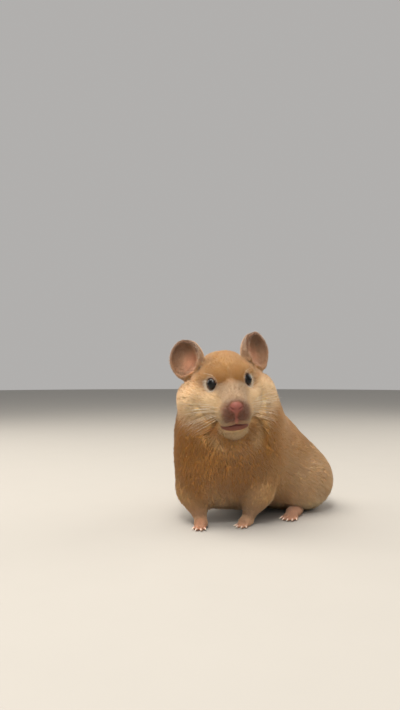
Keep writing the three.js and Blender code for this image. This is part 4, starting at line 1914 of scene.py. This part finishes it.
    def side_by_side(self, middles: list[Array], turns: list[Array], rows: Array) -> Array:
        """Ears and feet open out flat in columns, one for the front and one for the back of each.

        Args:
            middles: the middle of each.
            turns: its directions: the way it looks, then across and up on the unwrap.
            rows: numbers of the roots.

        Returns:
            (n, 2) places on the unwrap.
        """
        roots, turns = self.roots[rows], np.array(turns)
        nearest = np.argmin([np.linalg.norm(roots - m, axis=1) for m in middles], axis=0)
        local = np.einsum("nd,ndk->nk", roots - np.array(middles)[nearest], turns[nearest])
        inside = (self.normals[rows] * turns[nearest][:, :, 0]).sum(1) > 0
        width = 1.0 / (2 * len(middles))
        u = (nearest * 2 + inside) * width + width * (0.5 + 0.45 * np.clip(local[:, 1] / 13.0, -1, 1))
        v = 0.5 + 0.48 * np.clip(local[:, 2] / 14.0, -1, 1)
        return np.stack([u, v], axis=1)

    def opened(self, lock: Lock, roots: Array) -> Array:
        """Trunk and head open out as a round map: r = sin(φ/2) at angle φ from the piece's own direction.

        Args:
            lock: the piece of coat.
            roots: (n, 3) places.

        Returns:
            (n, 2) places on the unwrap.
        """
        pole = self.pole(lock)
        side = unit(np.cross(pole, [0.31, 0.17, 0.93]))
        way = unit(roots - self.middle(lock))
        reach = np.sin(np.arccos(np.clip(way @ pole, -1, 1)) / 2)
        reach = 0.485 * reach / max(reach.max(), TINY)
        turn = np.arctan2(way @ np.cross(pole, side), way @ side)
        return 0.5 + reach[:, None] * np.stack([np.cos(turn), np.sin(turn)], axis=1)

    def middle(self, lock: Lock) -> Array:
        """The place on the head or trunk that its pieces of coat look out from.

        Args:
            lock: the piece of coat.

        Returns:
            A place in the frame of the solids.
        """
        head = self.animal.head
        if lock.region is Region.HEAD:
            return head.stance.at(head.middle)
        return np.array(self.animal.trunk_middle)

    def pole(self, lock: Lock) -> Array:
        """The way a piece of coat looks, in the frame of the solids."""
        if lock.region is Region.HEAD:
            return self.animal.head.stance.along(lock.towards)
        return unit(np.asarray(lock.towards, float))

    def piece(self, lock: Lock, region: Array, colours: Array) -> None:
        """Makes one piece of coat from the roots of its region that look its way most.

        Args:
            lock: the piece.
            region: each root's region.
            colours: each tuft's colour.
        """
        own = region == lock.region.value
        rivals = [other for other in LOCKS if other.region is lock.region]
        if len(rivals) > 1:
            way = unit(self.roots - self.middle(lock))
            best = np.argmax([way @ self.pole(other) for other in rivals], axis=0)
            own = own & (best == rivals.index(lock))
        rows = np.nonzero(own)[0]
        if not len(rows):
            log.warning("%s has no tufts", lock.name)
            return
        if len(rows) > self.most:
            log.warning("%s has %d tufts, kept %d", lock.name, len(rows), self.most)
            rows = rows[np.linspace(0, len(rows) - 1, self.most).astype(int)]
        points, faces, corners = self.tufts(rows)
        # painted shade along each tuft: darker toward the root, a little lighter at the tip
        painted_shades = np.tile(TUFT_PAINTED_SHADE, len(rows))[:, None]
        colours = colours[rows].repeat(len(TUFT_PAINTED_SHADE), axis=0) * painted_shades
        made = hand_over(lock.name, points, faces, COAT, colours)
        layer = made.data.uv_layers.new(name="OFBake")
        spots = self.spot(lock, rows)[:, None, :] + self.patch * (corners - 0.5)[None]
        layer.data.foreach_set("uv", np.clip(spots, 0.0005, 0.9995).astype(np.float32).ravel())

    def tufts(self, rows: Array) -> tuple[Array, Array, Array]:
        """Closed three-sided spikes: two rings of three corners and a tip.

        A ring is p ± w/2 across the lie, with a ridge 0.45 w over its middle; at the root w is 0.8 of the
        tuft's width.

        Args:
            rows: numbers of the tufts.

        Returns:
            Points, triangles, and the patch's corners (30, 2) of one tuft, 0 to 1.
        """
        width = 0.08 + 0.05 * self.length[rows]
        depth = self.buried * self.normals[rows] * np.minimum(self.length[rows], 1.0)[:, None]
        root, mid, tip = self.roots[rows] - depth, self.mid[rows], self.tip[rows]
        across = self.across[rows]
        ridge = unit(np.cross(across, unit(tip - root)))
        corners = []
        for place, share in ((root, 0.8), (mid, 1.0)):
            half = (share * width / 2)[:, None]
            corners += [place - half * across, place + half * across, place + 0.9 * half * ridge]
        points = np.stack([*corners, tip], axis=1)
        sides = ((0, 1), (1, 2), (2, 0))
        one = np.array([[0, 1, 2], *[[a, a + 3, b + 3] for a, b in sides],
                        *[[a, b + 3, b] for a, b in sides], *[[a + 3, 6, b + 3] for a, b in sides]])
        faces = one[None] + points.shape[1] * np.arange(len(rows))[:, None, None]
        t = 1.0 / 3.0
        flat = [[[0.0, 0.0], [t, 0.0], [t / 2, 0.2]]]
        flat += [[[j * t, 0], [j * t, 0.5], [(j + 1) * t, 0.5]] for j in range(3)]
        flat += [[[j * t, 0], [(j + 1) * t, 0.5], [(j + 1) * t, 0.0]] for j in range(3)]
        flat += [[[j * t, 0.5], [(j + 0.5) * t, 1.0], [(j + 1) * t, 0.5]] for j in range(3)]
        return points.reshape(-1, 3), faces.reshape(-1, 3), np.array(flat).reshape(-1, 2)


# ---------------------------------------------------------------------------------------------
# Floor, light and camera
# ---------------------------------------------------------------------------------------------

@dataclass(frozen=True)
class Lamp:
    """A soft square light, aimed at the animal's middle."""

    name: str
    place: Point
    size: float
    power: float
    colour: Point
    aim: Point = (0.0, 0.0, 0.05)

    def build(self) -> None:
        """Hangs the light and turns it to the middle of the body."""
        data = bpy.data.lights.new(self.name, "AREA")
        data.size, data.energy, data.color = self.size, self.power, self.colour
        lamp = bpy.data.objects.new(self.name, data)
        lamp.location = self.place
        look = Vector(self.aim) - lamp.location
        lamp.rotation_euler = look.to_track_quat("-Z", "Y").to_euler()
        bpy.context.scene.collection.objects.link(lamp)


LAMPS = (
    Lamp("key", (-0.16, -0.10, 0.75), 0.6, 6.7, (1.0, 0.92, 0.82)),
    Lamp("fill", (0.45, -0.75, 0.45), 0.7, 1.8, (1.0, 0.95, 0.89)),
    Lamp("back", (0.30, 0.60, 0.45), 0.6, 2.5, (1.0, 0.93, 0.84)),
    Lamp("side", (-0.60, -0.10, 0.35), 0.4, 1.3, (1.0, 0.93, 0.84)),
    Lamp("spark", (0.20, -0.42, 0.62), 0.15, 2.0, (1.0, 0.96, 0.90)),
)


@dataclass(frozen=True)
class Studio:
    """Pale floor, soft light from above and the camera."""

    floor_radius: float = 2500.0
    floor_rings: int = 23
    floor_sides: int = 96
    floor_tone: Point = (0.68, 0.67, 0.65)
    sky: Point = (0.88, 0.86, 0.84)
    sky_strength: float = 0.5
    camera_place: Point = (188.09, -267.2, 81.0)
    camera_azimuth: float = 37.0
    camera_rise: float = 1.62
    focal_px: float = 600.0
    long_side_px: float = 710.0
    sensor: float = 36.0
    clip: Span = (0.01, 20.0)

    def build(self) -> None:
        """Floor, world, lamps and camera."""
        self.floor()
        self.world()
        for lamp in LAMPS:
            lamp.build()
        self.camera()

    def floor(self) -> None:
        """A disc of rings of radius R t², which stand close together near the middle."""
        radii = np.linspace(0.0, 1.0, self.floor_rings + 1)[1:] ** 2 * self.floor_radius
        middles = np.zeros((self.floor_rings, 3))
        disc = rings(middles, radii, np.array([1.0, 0.0, 0.0]), np.array([0.0, 1.0, 0.0]), self.floor_sides)
        points = np.concatenate([middles[:1], disc])
        faces = ring_faces(self.floor_rings, self.floor_sides, closed=False)
        colours = np.tile(linear(*self.floor_tone), (len(points), 1))
        hand_over("floor", points - STAND, faces, TABLE, colours, stage=True)

    def world(self) -> None:
        """A pale, even sky."""
        world = bpy.data.worlds.new("pale")
        world.use_nodes = True
        shade = world.node_tree.nodes["Background"]
        shade.inputs["Color"].default_value = (*self.sky, 1.0)
        shade.inputs["Strength"].default_value = self.sky_strength
        bpy.context.scene.world = world

    def camera(self) -> None:
        """Sets the camera at its place; the focal length is f px × sensor / long side."""
        data = bpy.data.cameras.new("camera")
        data.sensor_width = self.sensor
        data.lens = self.focal_px * self.sensor / self.long_side_px
        data.clip_start, data.clip_end = self.clip
        camera = bpy.data.objects.new("camera", data)
        a, e = math.radians(self.camera_azimuth), math.radians(self.camera_rise)
        look = Vector((-math.sin(a) * math.cos(e), math.cos(a) * math.cos(e), math.sin(e)))
        camera.location = (np.array(self.camera_place) + STAND) * MM
        camera.rotation_euler = look.to_track_quat("-Z", "Y").to_euler()
        bpy.context.scene.collection.objects.link(camera)
        bpy.context.scene.camera = camera


def main() -> None:
    """Builds skin, eyes, claws, whiskers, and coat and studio."""
    animal = Hamster()
    lie, markings = Lie(animal), Markings(animal)
    skin = Skin(animal, lie, markings)
    skin.build()
    Eyes(animal.head).build()
    Claws(animal.feet).build()
    Whiskers(animal).build()
    Coat(animal, skin, lie, markings).build()
    Studio().build()
    bpy.context.scene.view_settings.view_transform = "Standard"


if __name__ == "__main__":
    logging.basicConfig(level=logging.INFO, format="%(name)s: %(message)s")
    main()
